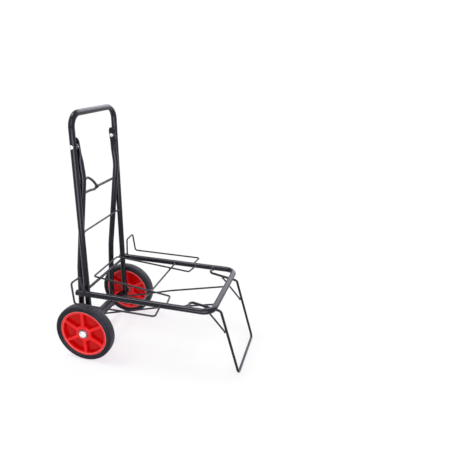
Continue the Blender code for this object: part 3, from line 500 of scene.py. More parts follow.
# Each finish with the name of the record's slot that it stands for
PAINT = (enamel_finish("black_enamel", ((0.005, 0.004, 0.010), (0.009, 0.007, 0.017)),
                       (0.13, 0.20), 0.26, 0.16), "black_paint")
WIRE_PAINT = (enamel_finish("wire_enamel", ((0.012, 0.011, 0.018), (0.021, 0.019, 0.029)),
                            (0.34, 0.44), 0.28, 0.10), "dark_wire")
ZINC = (zinc_finish(), "bright_zinc")
CAP_ZINC = (cap_finish(), "bright_zinc")
RED = (red_finish(), "red_plastic")
RUBBER = (rubber_finish(), "tyre_rubber")
BLACK_PLASTIC = (plastic_finish("black_moulded", ((0.014, 0.014, 0.016), (0.024, 0.024, 0.027)),
                                (0.42, 0.56)), "black_plastic")
GREY_PLASTIC = (plastic_finish("grey_moulded", ((0.036, 0.031, 0.045), (0.054, 0.047, 0.064)),
                               (0.42, 0.56)), "grey_plastic")
NYLON = (plastic_finish("natural_nylon", ((0.66, 0.65, 0.61), (0.74, 0.73, 0.70)),
                        (0.38, 0.50)), "white_nylon")


# Pieces

def add_object(name, data):
    """An object in the scene."""
    made = bpy.data.objects.new(name, data)
    bpy.context.scene.collection.objects.link(made)
    return made


def finish_piece(name, mesh, finish, body, node, sharp=SHARP):
    """Make an object of a bmesh that rides on a body and stands for a CAD node."""
    material, slot = finish
    mesh.transform(Matrix.Translation((AXLE_X, 0, 0)))
    bmesh.ops.recalc_face_normals(mesh, faces=mesh.faces)
    data = bpy.data.meshes.new(name)
    mesh.to_mesh(data)
    mesh.free()
    data.shade_smooth()
    data.set_sharp_from_angle(angle=radians(sharp))
    data.materials.append(material)
    piece = add_object(name, data)
    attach(piece, body)
    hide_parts(node)


def add_turned(name, finish, body, node, outline, centre, direction=(0, 1, 0),
               sides=TURNED_SIDES, sharp=SHARP):
    """A piece turned about an axis from an outline of (radius, distance along it) points."""
    mesh = bmesh.new()
    columns = []
    for radius, along in outline:
        if radius < ON_AXIS:
            columns.append(axis_ring(mesh, centre, direction, [0], along) * sides)
        else:
            columns.append(axis_ring(mesh, centre, direction, [radius] * sides, along))
    for first, second in zip(columns, columns[1:] + columns[:1]):
        for index in range(sides):
            after = (index + 1) % sides
            corners = (first[index], first[after], second[after], second[index])
            # on the axis two corners are one, and between two points on it there is no face
            corners = tuple(dict.fromkeys(corners))
            if len(corners) > 2:
                mesh.faces.new(corners)
    finish_piece(name, mesh, finish, body, node, sharp)


def add_wire(name, body, node, path, radius=WIRE, finish=WIRE_PAINT, welded=True, blobs=(),
             **shape):
    """A piece of bent wire; each blob is the centre, size and seed of a lump of weld metal."""
    mesh = bmesh.new()
    wire_into(mesh, path, radius, welded, **shape)
    for blob in blobs:
        blob_into(mesh, *blob)
    finish_piece(name, mesh, finish, body, node)


def add_tube(name, body, node, path, side, outer, inner):
    """A piece of open-ended tube along a path, from its outer and inner sections."""
    mesh = bmesh.new()
    frames = path_frames(path, side)
    outside = place_rings(mesh, frames, outer)
    inside = place_rings(mesh, frames, inner)
    skin(mesh, outside)
    skin(mesh, [list(reversed(ring)) for ring in inside])
    for end in (0, -1):
        skin(mesh, [outside[end], inside[end]])
    finish_piece(name, mesh, PAINT, body, node)


def add_round_tube(name, body, node, corners, bend, side):
    """A piece of bent tube of the cart's round section."""
    path = rounded_path(corners, bend, TUBE_BEND_STEP)
    outer = [ring_of(TUBE, TUBE_SIDES)] * len(path)
    inner = [ring_of(TUBE - TUBE_WALL, TUBE_SIDES)] * len(path)
    add_tube(name, body, node, path, side, outer, inner)


# Frame

HANDLE_Y = 0.1053
HANDLE_TOP = (0.0080, 0.6763)
HANDLE_FOOT_Z = 0.070
REAR_Y = 0.0867
REAR_LINE = ((0.0055, 0.6185), (0.0133, 0.5156), (-0.0248, 0.2606), (-0.0370, 0.100))
REAR_FOOT = (-0.0390, 0.040)
FOOT_PIN = (-0.0390, 0.054)
BOLT_Z = 0.598
HANDLE_WIRE_Z = 0.373
HANDLE_WIRE_AHEAD = 0.003
REAR_WIRE_Z = 0.4755
REAR_WIRE_END = -0.0158
PLATFORM_Y = 0.1256
PLATFORM_Z = 0.203
PLATFORM_FRONT = 0.3656
PLATFORM_REAR = -0.0159
HUB_HALF = 0.01225

# Distances from the middle plane at which pieces meet the tubes' and hubs' sides
HANDLE_INNER = HANDLE_Y - TUBE - GAP
HANDLE_OUTER = HANDLE_Y + TUBE + GAP
REAR_INNER = REAR_Y - TUBE - GAP
REAR_OUTER = REAR_Y + TUBE + GAP
RAIL_INNER = PLATFORM_Y - TUBE - GAP
RAIL_OUTER = PLATFORM_Y + TUBE + GAP
HUB_INNER = WHEEL_Y - HUB_HALF - GAP
HUB_OUTER = WHEEL_Y + HUB_HALF + GAP

# The cargo hook's corners from its upper to its lower end: distance to the right, rise over the
# rear wire
HOOK = ((REAR_INNER, 0.0368), (0.0640, 0.0362), (0.0515, 0.0298), (0.0389, 0.0214),
        (0.0275, 0.0118), (0.0193, 0.0030), (0.0200, -0.0028), (0.0275, -0.0052),
        (0.0492, -0.0022), (REAR_INNER, -0.0012))

# The rear tubes' flattened tops: half thickness, half width, lengths of flat and taper, how
# square the flat's edges are, and over what length and by how much its end draws in
FLAT_HALF = 0.0025
FLAT_WIDE = 0.01075
FLAT_LENGTH = 0.034
TAPER_LENGTH = 0.030
FLAT_SQUARE = 1.4
FLAT_END = 0.0095
FLAT_DRAW = 0.42

# Bolts, nuts and washers; plates are the washers and links
BOLT = 0.0030
BOLT_HEAD = 0.0052
BOLT_HEAD_HEIGHT = 0.0036
BOLT_HEAD_LIP = 0.0011
BOLT_SPARE = 0.0015
BOLT_BORE = BOLT + GAP
NUT = 0.0057
NUT_HEIGHT = 0.0055
WASHER = 0.0080
PLATE = 0.0020
PLATE_EDGE = 0.0003

# Pins, rings and plugs
RIVET = 0.0065
RIVET_HEIGHT = 0.0020
BUSH = 0.0065
SPACER = 0.009
LINK_RIM = 0.004
LINK_STEPS = 32
SLEEVE = 0.014
SLEEVE_HALF = 0.066
CAP = 0.0130
CAP_FLANGE_THICK = 0.0018
CAP_DOME_HEIGHT = 0.0057
CAP_DOME_FULL = 0.8
AXLE_SPARE = 0.004
PLUG_DEPTH = 0.006
PLUG_EDGE = 0.0016


def handle_x(z):
    """X of the handle's leg at a height."""
    return HANDLE_TOP[0] * (z - AXLE_Z) / (HANDLE_TOP[1] - AXLE_Z)


def rear_x(z):
    """X of the rear tube's middle line at a height."""
    for (upper_x, upper_z), (lower_x, lower_z) in zip(REAR_LINE, REAR_LINE[1:]):
        if z >= lower_z:
            return lower_x + (upper_x - lower_x) * (z - lower_z) / (upper_z - lower_z)
    return REAR_FOOT[0]


def make_handle():
    """The handle tube: two legs and the grip bar."""
    half = [(handle_x(HANDLE_FOOT_Z), HANDLE_Y, HANDLE_FOOT_Z),
            (HANDLE_TOP[0], HANDLE_Y, HANDLE_TOP[1])]
    add_round_tube("handle_bar", "frame", "handle_tube", mirrored(half), HANDLE_BEND, (1, 0, 0))


def flat_section(radius, flatness, thinner):
    """The rear tube's section from round (0) to flattened (1), its outer side kept in line."""
    shift = TUBE - FLAT_HALF
    section = []
    for outward, across in ring_of(radius, TUBE_SIDES):
        thick = (FLAT_HALF - thinner) * max(-1.0, min(1.0, FLAT_SQUARE * outward / radius))
        wide = (FLAT_WIDE - thinner) * across / radius
        section.append((outward + (thick + shift - outward) * flatness,
                        across + (wide - across) * flatness))
    return section


def make_rear_tube(word, side):
    """A rear tube, flattened at its top where it is bolted to the handle."""
    corners = [(x, side * REAR_Y, z) for x, z in (REAR_FOOT, *reversed(REAR_LINE))]
    path = rounded_path(corners, REAR_BEND, WIDE_BEND_STEP)
    top = path.pop()
    run = (top - path[-1]).normalized()
    flat = top - run * FLAT_LENGTH
    taper = flat - run * TAPER_LENGTH
    path = [point for point in path if point.z < taper.z - 0.002]
    path += [taper.lerp(flat, step / 12) for step in range(13)]
    path += [flat.lerp(top, step / 6) for step in range(1, 7)]
    outer = []
    inner = []
    for point in path:
        flatness = smooth_step((point.z - taper.z) / (flat.z - taper.z))
        # the pressed end is cut round, so its corners draw in
        rest = max(0.0, 1 - (top - point).length / FLAT_END)
        narrow = 1 - FLAT_DRAW * rest * rest
        for sections, thinner in ((outer, 0.0), (inner, TUBE_WALL)):
            section = flat_section(TUBE - thinner, flatness, thinner)
            sections.append([(a, b * narrow) for a, b in section])
    add_tube("rear_bar_" + word, "frame", "rear_tube_" + word, path, (0, side, 0), outer, inner)


def add_nut(name, node, centre, direction, inner, outer):
    """A hexagon nut whose corners are turned off on its inner face."""
    hexagon = []
    for step in range(SMALL_SIDES):
        from_flat = (2 * pi * step / SMALL_SIDES + pi / 6) % (pi / 3) - pi / 6
        hexagon.append(NUT * cos(pi / 6) / cos(from_flat))
    rows = ((BOLT_BORE, inner + 0.0002), (0.0048, inner), (0.98 * NUT, inner + 0.0006),
            (NUT, inner + 0.0011), (NUT, outer), (BOLT_BORE, outer))
    mesh = bmesh.new()
    rings = []
    for reach, along in rows:
        radii = [min(reach, radius) for radius in hexagon]
        rings.append(axis_ring(mesh, centre, direction, radii, along))
    skin(mesh, rings + [rings[0]])
    finish_piece(name, mesh, ZINC, "frame", node)


def make_bolt(word, side):
    """Domed bolt head outside, washer between the tubes, hexagon nut inside."""
    centre = (handle_x(BOLT_Z), 0, BOLT_Z)
    outward = (0, side, 0)
    nut_outer = REAR_OUTER - 2 * GAP - 2 * FLAT_HALF
    nut_inner = nut_outer - NUT_HEIGHT
    tip = nut_inner - BOLT_SPARE
    outline = [(0, tip), (BOLT - 0.0004, tip), (BOLT, tip + 0.0005), (BOLT, HANDLE_OUTER),
               (BOLT_HEAD, HANDLE_OUTER)]
    lip = HANDLE_OUTER + BOLT_HEAD_LIP
    rise = BOLT_HEAD_HEIGHT - BOLT_HEAD_LIP
    outline += [(BOLT_HEAD * c, lip + rise * s) for c, s in quarter_arc(DOME_STEPS)]
    add_turned("bolt_" + word, ZINC, "frame", "top_bolt_" + word, outline, centre, outward,
               BOLT_SIDES)
    add_nut("nut_" + word, "top_nut_" + word, centre, outward, nut_inner, nut_outer)
    outline = ring_outline(BOLT_BORE, WASHER, REAR_OUTER, REAR_OUTER + PLATE, PLATE_EDGE)
    add_turned("washer_" + word, ZINC, "frame", "top_washer_" + word, outline, centre, outward,
               SMALL_SIDES)


def make_frame_wires():
    """The wire between the handle's legs, the one between the rear tubes and its cargo hook."""
    x = handle_x(HANDLE_WIRE_Z) + HANDLE_WIRE_AHEAD
    add_wire("handle_wire", "frame", "handle_cross_wire",
             mirrored([(x, HANDLE_INNER, HANDLE_WIRE_Z)]))
    ends = [(rear_x(REAR_WIRE_Z), y, REAR_WIRE_Z) for y in (REAR_WIRE_END, REAR_INNER)]
    add_wire("rear_wire", "frame", "rear_cross_wire", ends, HOOK_WIRE, seed=2.0)
    bow = [(rear_x(REAR_WIRE_Z + rise), -y, REAR_WIRE_Z + rise) for y, rise in HOOK]
    add_wire("load_hook", "frame", "cargo_hook", rounded_path(bow, HOOK_BEND), HOOK_WIRE,
             seed=3.0)


def make_axle():
    """Axle rod, spacers and domed caps."""
    centre = (0, 0, AXLE_Z)
    end = HUB_OUTER + AXLE_SPARE
    bore = AXLE + GAP
    add_turned("axle", PAINT, "frame", "axle_rod", ring_outline(0, AXLE, -end, end, 0.0006),
               centre)
    spacer = ring_outline(bore, SPACER, HANDLE_OUTER, HUB_INNER, 0.0006)
    seat = HUB_OUTER + CAP_FLANGE_THICK
    cap_outline = [(bore, HUB_OUTER), (CAP - 0.0004, HUB_OUTER), (CAP, HUB_OUTER + 0.0004),
                   (CAP, HUB_OUTER + 0.0012), (CAP - 0.0004, HUB_OUTER + 0.0016)]
    cap_outline += [(CAP_DOME_R * c ** CAP_DOME_FULL, seat + CAP_DOME_HEIGHT * s)
                    for c, s in quarter_arc(FINE_DOME_STEPS)]
    cap_outline += [(0, end + GAP), (bore, end + GAP)]
    for word, side in SIDES.items():
        outward = (0, side, 0)
        add_turned("spacer_" + word, BLACK_PLASTIC, "frame", "wheel_spacer_" + word, spacer,
                   centre, outward)
        add_turned("cap_" + word, CAP_ZINC, "frame", "hub_cap_" + word, cap_outline, centre,
                   outward)


def make_links():
    """The links between axle and foot pin."""
    lean = atan2(AXLE_Z - FOOT_PIN[1], -FOOT_PIN[0])
    ends = ((0.0, AXLE_Z, AXLE, lean - pi / 2), (*FOOT_PIN, PIN, lean + pi / 2))
    outline = []
    for x, z, pin, start in ends:
        radius = pin + GAP + LINK_RIM
        for step in range(LINK_STEPS + 1):
            turn = start + pi * step / LINK_STEPS
            outline.append((x + radius * cos(turn), z + radius * sin(turn)))
    for word, side in SIDES.items():
        mesh = bmesh.new()
        face = mesh.faces.new([mesh.verts.new((x, side * REAR_OUTER, z)) for x, z in outline])
        made = bmesh.ops.extrude_face_region(mesh, geom=[face])
        moved = [item for item in made["geom"] if isinstance(item, bmesh.types.BMVert)]
        bmesh.ops.translate(mesh, verts=moved, vec=(0, side * PLATE, 0))
        rim = [edge for edge in mesh.edges
               if len(edge.link_faces) == 2 and edge.calc_face_angle() > 1.2]
        bmesh.ops.bevel(mesh, geom=rim, offset=PLATE_EDGE, segments=2, affect="EDGES")
        finish_piece("link_" + word, mesh, PAINT, "frame", "link_plate_" + word)


def pin_outline(seat):
    """Outline of a pin with a domed rivet head at each end."""
    half = [(PIN, seat), (RIVET - 0.0001, seat), (RIVET, seat + 0.0003)]
    half += [(RIVET * c, seat + 0.0005 + RIVET_HEIGHT * s)
             for c, s in quarter_arc(DOME_STEPS)[1:]]
    return [(radius, -along) for radius, along in reversed(half)] + half


def make_pins():
    """Foot pin with its sleeve, and the platform's pivot pin with its bushes."""
    centre = (FOOT_PIN[0], 0, FOOT_PIN[1])
    add_turned("foot_pin", PAINT, "frame", "foot_rod", pin_outline(REAR_OUTER + PLATE + GAP),
               centre)
    outline = ring_outline(PIN + GAP, SLEEVE, -SLEEVE_HALF, SLEEVE_HALF, 0.0014, 6)
    add_turned("sleeve", GREY_PLASTIC, "frame", "foot_sleeve", outline, centre)
    centre = (0, 0, PLATFORM_Z)
    add_turned("pivot_pin", PAINT, "frame", "pivot_rod", pin_outline(RAIL_OUTER), centre)
    outline = ring_outline(PIN + GAP, BUSH, HANDLE_OUTER, RAIL_INNER, 0.0005)
    for word, side in SIDES.items():
        add_turned("bush_" + word, BLACK_PLASTIC, "frame", "pivot_bush_" + word, outline, centre,
                   (0, side, 0))


def add_plug(name, body, node, end, direction):
    """A plug in a tube's open end."""
    stem = TUBE - TUBE_WALL - GAP
    outline = [(0, -PLUG_DEPTH), (stem, -PLUG_DEPTH), (stem, GAP), (TUBE, GAP)]
    outline += [(TUBE - PLUG_EDGE * (1 - c), GAP + 0.0010 + 0.0011 * s)
                for c, s in quarter_arc(DOME_STEPS)]
    outline.append((0, GAP + 0.0025))
    add_turned(name, BLACK_PLASTIC, body, node, outline, end, direction, SMALL_SIDES)


def make_plugs():
    """Plugs in the tubes' open ends."""
    lean = Vector((-HANDLE_TOP[0], 0, AXLE_Z - HANDLE_TOP[1])).normalized()
    for word, side in SIDES.items():
        foot = (handle_x(HANDLE_FOOT_Z), side * HANDLE_Y, HANDLE_FOOT_Z)
        add_plug("plug_handle_" + word, "frame", "handle_plug_" + word, foot, lean)
        foot = Vector((REAR_FOOT[0], side * REAR_Y, REAR_FOOT[1]))
        ankle = Vector((REAR_LINE[-1][0], side * REAR_Y, REAR_LINE[-1][1]))
        add_plug("plug_rear_" + word, "frame", "rear_plug_" + word, foot,
                 (foot - ankle).normalized())
        end = (PLATFORM_REAR, side * PLATFORM_Y, PLATFORM_Z)
        add_plug("plug_platform_" + word, "platform", "platform_plug_" + word, end, (-1, 0, 0))


# Wheels

TYRE_R = 0.085
TYRE_HALF = 0.016
TYRE_BULGE = 0.0035
TYRE_SHOULDER = 0.0078
TYRE_CROWN = 0.0006
BUSH_R = 0.0093
RIM_HALF = 0.01225
RIM_RING = 0.0065
SPOKES = 6
SPOKE_HALF = 0.00425
SPOKE_RECESS = 0.0012
SPOKE_SAG = 0.0007
WEB_HALF = 0.002

# The tyre's wall from its bore outward: distance from the bore, and from the bead's plane
TYRE_WALL = ((0.0, -0.0006), (0.0004, 0.0), (0.0012, 0.0009), (0.0022, 0.0017),
             (0.0030, 0.0021), (0.0034, 0.0018), (0.0039, 0.0018), (0.0044, 0.0026),
             (0.0056, 0.0032))

# The rim's face: where its pockets start and end, how far their walls lean along the radius and
# across it, where the hub's flat ends and spokes and ring begin, rows on the hub, columns on walls
POCKET_START = HUB_R + 0.0016
POCKET_END = RIM_R - RIM_RING
WALL_RUN = 0.0018
WALL_WIDTH = 0.0013
HUB_FACE_R = HUB_R - 0.0010
SPOKE_START = HUB_R + 0.0005
RING_START = POCKET_END + 0.0006
HUB_ROWS = (BUSH_R + GAP, BUSH_R + 0.0016, 0.0150, HUB_R - 0.0050)
WALL_SHARES = (0.0, 0.2, 0.4, 0.6, 0.8)


def tyre_outline():
    """Profile of a solid tyre: crowned tread, round shoulders, a moulded ring on each wall."""
    bore = RIM_R + GAP
    bead = TYRE_HALF - TYRE_BULGE
    side = [(bore + out, bead + along) for out, along in TYRE_WALL]
    side += [(TYRE_R - TYRE_CROWN - TYRE_SHOULDER * (1 - s), TYRE_HALF - TYRE_SHOULDER * (1 - c))
             for c, s in quarter_arc(FINE_DOME_STEPS)]
    side += [(TYRE_R - 0.0002, TYRE_HALF - 0.0105), (TYRE_R, TYRE_HALF - 0.0140)]
    return side + [(radius, -along) for radius, along in reversed(side)]


def rim_rows():
    """Radii of the rim face's grid, close together where the pockets' walls are."""
    low = POCKET_START + WALL_RUN
    high = POCKET_END - WALL_RUN
    rows = [HUB_R - 0.0022, HUB_FACE_R, HUB_R - 0.0002, SPOKE_START]
    rows += [POCKET_START + WALL_RUN * share for share in (*WALL_SHARES, 1.0)]
    rows += [low + (high - low) * step / 10 for step in range(1, 10)]
    rows += [high + WALL_RUN * share for share in (*WALL_SHARES, 1.0)]
    rows += [RING_START, POCKET_END + 0.0012, POCKET_END + 0.0020, POCKET_END + 0.0028,
             RIM_R - 0.0030, RIM_R - 0.0010, RIM_R - 0.0004, RIM_R]
    return rows


def rim_columns():
    """Places round the rim: the spoke's angle, the sense away from it, and (kind, share)."""
    half = [("spoke", share) for share in (0.0, 0.5, 0.8)]
    half += [("wall", share) for share in WALL_SHARES]
    half += [("pocket", share) for share in (0.0, 0.25, 0.5, 0.75)]
    columns = []
    for sector in range(SPOKES):
        base = 2 * pi * sector / SPOKES
        columns += [(base, 1, *place) for place in half]
        columns.append((base, 1, "pocket", 1.0))
        columns += [(base + 2 * pi / SPOKES, -1, *place) for place in reversed(half[1:])]
    return columns


def column_turn(kind, share, radius):
    """Angle from the middle of a spoke at a radius, and how deep into the pocket's wall."""
    edge = SPOKE_HALF / radius
    foot = (SPOKE_HALF + WALL_WIDTH) / radius
    if kind == "spoke":
        return edge * share, 0.0
    if kind == "wall":
        return edge + (foot - edge) * share, share
    return foot + (pi / SPOKES - foot) * share, 1.0


def rim_height(radius, depth):
    """Height of the rim's face over its middle plane."""
    spoke = RIM_HALF - SPOKE_RECESS
    if radius <= HUB_FACE_R:
        return HUB_HALF
    if radius <= SPOKE_START:
        share = (radius - HUB_FACE_R) / (SPOKE_START - HUB_FACE_R)
        return HUB_HALF + (spoke - HUB_HALF) * smooth_step(share)
    if radius >= RING_START:
        face = spoke + SPOKE_RECESS * smooth_step((radius - RING_START) / 0.0014)
        return face - 0.0008 * smooth_step((radius - RIM_R + 0.0010) / 0.0010)
    inward = smooth_step((radius - POCKET_START) / WALL_RUN)
    outward = smooth_step((POCKET_END - radius) / WALL_RUN)
    # the spokes sag a little between hub and ring, as ribs that are drawn from a mould do
    middle = (radius - POCKET_START) / (POCKET_END - POCKET_START)
    face = spoke - SPOKE_SAG * sin(pi * max(0.0, min(1.0, middle)))
    web = WEB_HALF + 0.0006 * cos(pi * (middle - 0.5))
    return face + (web - face) * inward * outward * smooth_step(depth)


def make_rim(word, side):
    """Six-spoked moulded rim, the same on both faces."""
    # on the hub the columns keep the angles that they have at its edge
    rows = [(radius, HUB_R) for radius in HUB_ROWS] + [(radius, radius) for radius in rim_rows()]
    columns = rim_columns()
    mesh = bmesh.new()
    faces = []
    for face_side in (1, -1):
        rings = []
        for radius, turn_radius in rows:
            ring = []
            for base, sense, kind, share in columns:
                turn, depth = column_turn(kind, share, turn_radius)
                turn = base + sense * turn
                y = side * WHEEL_Y + face_side * rim_height(radius, depth)
                ring.append(mesh.verts.new((radius * sin(turn), y,
                                            AXLE_Z + radius * cos(turn))))
            rings.append(ring)
        skin(mesh, rings)
        faces.append(rings)
    for edge in (0, -1):
        skin(mesh, [faces[0][edge], faces[1][edge]])
    finish_piece("spoked_rim_" + word, mesh, RED, "wheel_" + word, "rim_" + word, SHARP_RIM)


def make_wheel(word, side):
    """Rim, tyre and bush."""
    make_rim(word, side)
    centre = (0, side * WHEEL_Y, AXLE_Z)
    add_turned("solid_tyre_" + word, RUBBER, "wheel_" + word, "tyre_" + word, tyre_outline(),
               centre, sides=WHEEL_SIDES, sharp=SHARP_TYRE)
    outline = ring_outline(AXLE + GAP, BUSH_R, -HUB_HALF, HUB_HALF, 0.0005)
    add_turned("hub_bush_" + word, NYLON, "wheel_" + word, "wheel_bush_" + word, outline, centre)


# Load platform: places are X, distance from the middle plane, and rise over the rails

LOOP_FRONT = (0.2342, 0.0763, 0.0007)
LOOP_REAR = (0.0037, 0.0687, 0.0241)
LOOP_SEAT = (0.2411, RAIL_INNER, 0.0007)
DECK_WIRE_BEHIND = 0.1910
DECK_BLOB = (0.0034, 0.0030, 0.0017)
GUARD = ((0.2285, RAIL_OUTER, 0.0), (0.2344, 0.1800, 0.0), (0.0101, 0.1800, 0.0),
         (0.0050, 0.1770, 0.0580), (0.0050, 0.1363, 0.0550), (0.0050, 0.1312, 0.0077))


def make_platform():
    """Tube, inner loop, cross wire and side guards."""
    half = [(PLATFORM_REAR, PLATFORM_Y, PLATFORM_Z), (PLATFORM_FRONT, PLATFORM_Y, PLATFORM_Z)]
    add_round_tube("deck_tube", "platform", "platform_tube", mirrored(half), PLATFORM_BEND,
                   (0, 0, 1))
    half = [(x, y, PLATFORM_Z + rise) for x, y, rise in (LOOP_SEAT, LOOP_FRONT, LOOP_REAR)]
    add_wire("deck_loop", "platform", "inner_loop", rounded_path(mirrored(half), DECK_WIRE_BEND),
             seed=4.0)
    x = PLATFORM_FRONT - DECK_WIRE_BEHIND
    share = (x - LOOP_REAR[0]) / (LOOP_FRONT[0] - LOOP_REAR[0])
    loop_z = PLATFORM_Z + LOOP_REAR[2] + (LOOP_FRONT[2] - LOOP_REAR[2]) * share
    loop_y = LOOP_REAR[1] + (LOOP_FRONT[1] - LOOP_REAR[1]) * share
    z = loop_z - 2 * WIRE - GAP
    blobs = [((x, sense * loop_y, z + WIRE), DECK_BLOB, sense) for sense in (1, -1)]
    add_wire("deck_wire", "platform", "mid_cross_wire", mirrored([(x, RAIL_INNER, z)]),
             blobs=blobs, seed=5.0)
    for word, side in SIDES.items():
        points = [(x, side * y, PLATFORM_Z + rise) for x, y, rise in GUARD]
        add_wire("guard_" + word, "platform", "side_guard_" + word,
                 rounded_path(points, DECK_WIRE_BEND), seed=6.0 + side)


# Folding leg and stays

LEG_PIVOT = (0.2970, 0.2035)
LEG_Y = 0.0890
LEG_STUB_Y = 0.1232
KNEE_X = 0.3797
LEG_FOOT = (0.43125, LEG_WIRE)
LEG_CROSS_X = 0.361
LEG_BLOB = (0.0038, 0.0036, 0.0016)
COLLAR = 0.0062
COLLAR_START = 0.1133

# The braces: places of their ends along arm and shaft, and what is left of the way to touching
BRACE_ON_ARM = 0.42
BRACE_ON_SHAFT = 0.380
BRACE_CLOSE = 0.8

# The stays: radius and turn of the eye, the knee's X and rise over the axle, distance from the
# middle plane and its growth to the front
STAY_EYE = 0.0078
STAY_EYE_TURN = radians(285)
STAY_EYE_STEPS = 48
STAY_KNEE = (0.186, 0.0605)
STAY_Y = 0.050
STAY_SPREAD = 0.002


def knee_z():
    """Height of the leg's knee, so that its arm passes just under the front bar."""
    low = PLATFORM_Z - TUBE - GAP - LEG_WIRE
    slope = (low - LEG_PIVOT[1]) / (PLATFORM_FRONT - LEG_PIVOT[0])
    return LEG_PIVOT[1] + slope * (KNEE_X - LEG_PIVOT[0])


def leg_cross_z():
    """Height of the wire across under the leg's arms."""
    run = (knee_z() - LEG_PIVOT[1]) * (LEG_CROSS_X - LEG_PIVOT[0]) / (KNEE_X - LEG_PIVOT[0])
    return LEG_PIVOT[1] + run - LEG_WIRE - WIRE - GAP


def make_leg():
    """The bent leg wire with its cross wire, braces and collars."""
    half = [(LEG_PIVOT[0], LEG_STUB_Y, LEG_PIVOT[1]), (LEG_PIVOT[0], LEG_Y, LEG_PIVOT[1]),
            (KNEE_X, LEG_Y, knee_z()), (LEG_FOOT[0], LEG_Y, LEG_FOOT[1])]
    add_wire("leg_bow", "leg", "leg_wire", rounded_path(mirrored(half), LEG_BEND), LEG_WIRE,
             PAINT, welded=False, sides=LEG_WIRE_SIDES)
    z = leg_cross_z()
    blobs = [((LEG_CROSS_X, sense * LEG_Y, z + WIRE), LEG_BLOB, sense) for sense in (1, -1)]
    add_wire("leg_bar", "leg", "leg_cross_wire", mirrored([(LEG_CROSS_X, LEG_Y + LEG_WIRE, z)]),
             welded=False, blobs=blobs)
    collar = ring_outline(LEG_WIRE + GAP, COLLAR, COLLAR_START, RAIL_INNER, 0.0006)
    for word, side in SIDES.items():
        pivot, knee, foot = [Vector((x, side * y, z)) for x, y, z in half[1:]]
        upper = pivot.lerp(knee, BRACE_ON_ARM)
        lower = knee.lerp(foot, BRACE_ON_SHAFT)
        run = (lower - upper).normalized()
        ends = []
        for spot, line, sense in ((upper, knee - pivot, 1), (lower, foot - knee, -1)):
            angle = run.angle(line)
            touch = (LEG_WIRE + GAP) / sin(angle) + BRACE * abs(cos(angle)) / sin(angle)
            ends.append(spot + run * sense * touch * BRACE_CLOSE)
        add_wire("brace_" + word, "leg", "leg_brace_" + word, ends, BRACE, side=(0, 1, 0),
                 sides=BRACE_SIDES, seed=8.0 + side)
        add_turned("collar_" + word, BLACK_PLASTIC, "leg", "leg_collar_" + word, collar,
                   (LEG_PIVOT[0], 0, LEG_PIVOT[1]), (0, side, 0), SMALL_SIDES)


def make_stay(word, side):
    """A long wire with an eye round the axle."""
    axle = Vector((0, 0, AXLE_Z))
    knee = Vector((STAY_KNEE[0], 0, AXLE_Z + STAY_KNEE[1]))
    front = Vector((LEG_CROSS_X, 0, leg_cross_z()))
    front += (knee - front).normalized() * (WIRE + GAP)
    reach = knee - axle
    start = atan2(reach.z, reach.x) + acos(STAY_EYE / reach.length)
    ring = []
    for step in range(STAY_EYE_STEPS + 1):
        turn = start + STAY_EYE_TURN * step / STAY_EYE_STEPS
        ring.append(axle + Vector((cos(turn), 0, sin(turn))) * STAY_EYE)
    path = rounded_path([front, knee, ring[0]], STAY_BEND, WIDE_BEND_STEP)[:-1] + ring
    length = front.x
    for point in path:
        point.y = side * (STAY_Y + STAY_SPREAD * max(0.0, point.x / length))
    add_wire("tie_" + word, "stays", "stay_" + word, path, welded=False, side=(0, side, 0))


# Camera, light and floor

# The camera as it was fitted to the photograph: place, yaw, pitch and roll, focal length
CAMERA_PLACE = (0.463625, -1.0540, 0.8039)
CAMERA_TURNS = (0.2506, 0.3623, 0.0145)
FOCAL_PIXELS = 442.23
IMAGE_PIXELS = 453
SENSOR_MM = 36

# Strength of the world as light, and its colour
AMBIENT = 0.50
AMBIENT_COLOUR = (0.97, 0.97, 1.0)

# The floor: its colour under indirect light; where it is seen, how much of its look is its real
# shading, per colour, and how bright that shading is in the open
FLOOR_HALF = 9.0
FLOOR_COLOUR = (0.80, 0.79, 0.80)
SHADOW_SHARE = (0.24, 0.32, 0.26)
FLOOR_LEVEL = 0.98


def make_camera():
    """The photograph's viewpoint."""
    yaw, pitch, roll = CAMERA_TURNS
    ahead = Vector((-sin(yaw) * cos(pitch), cos(yaw) * cos(pitch), -sin(pitch)))
    right = Vector((cos(yaw), sin(yaw), 0))
    up = right.cross(ahead)
    across = right * cos(roll) + up * sin(roll)
    upright = up * cos(roll) - right * sin(roll)
    data = bpy.data.cameras.new("camera")
    data.sensor_width = SENSOR_MM
    data.lens = FOCAL_PIXELS / IMAGE_PIXELS * SENSOR_MM
    data.clip_start = 0.05
    data.clip_end = 60
    camera = add_object("camera", data)
    turn = Matrix((across, upright, -ahead)).transposed().to_4x4()
    camera.matrix_world = Matrix.Translation(CAMERA_PLACE) @ turn
    bpy.context.scene.camera = camera


def add_lamp(name, kind, towards, energy, gloss_tint=None):
    """A lamp that shines in a direction; one with a tint shows only in glossy finishes."""
    data = bpy.data.lights.new(name, kind)
    data.energy = energy
    lamp = add_object(name, data)
    lamp.rotation_euler = Vector(towards).to_track_quat("-Z", "Y").to_euler()
    if gloss_tint:
        data.color = gloss_tint
        lamp.visible_diffuse = False
    return lamp


def add_sun(name, towards, energy, angle, gloss_tint=None):
    """Even light from a very large distant softbox."""
    add_lamp(name, "SUN", towards, energy, gloss_tint).data.angle = radians(angle)


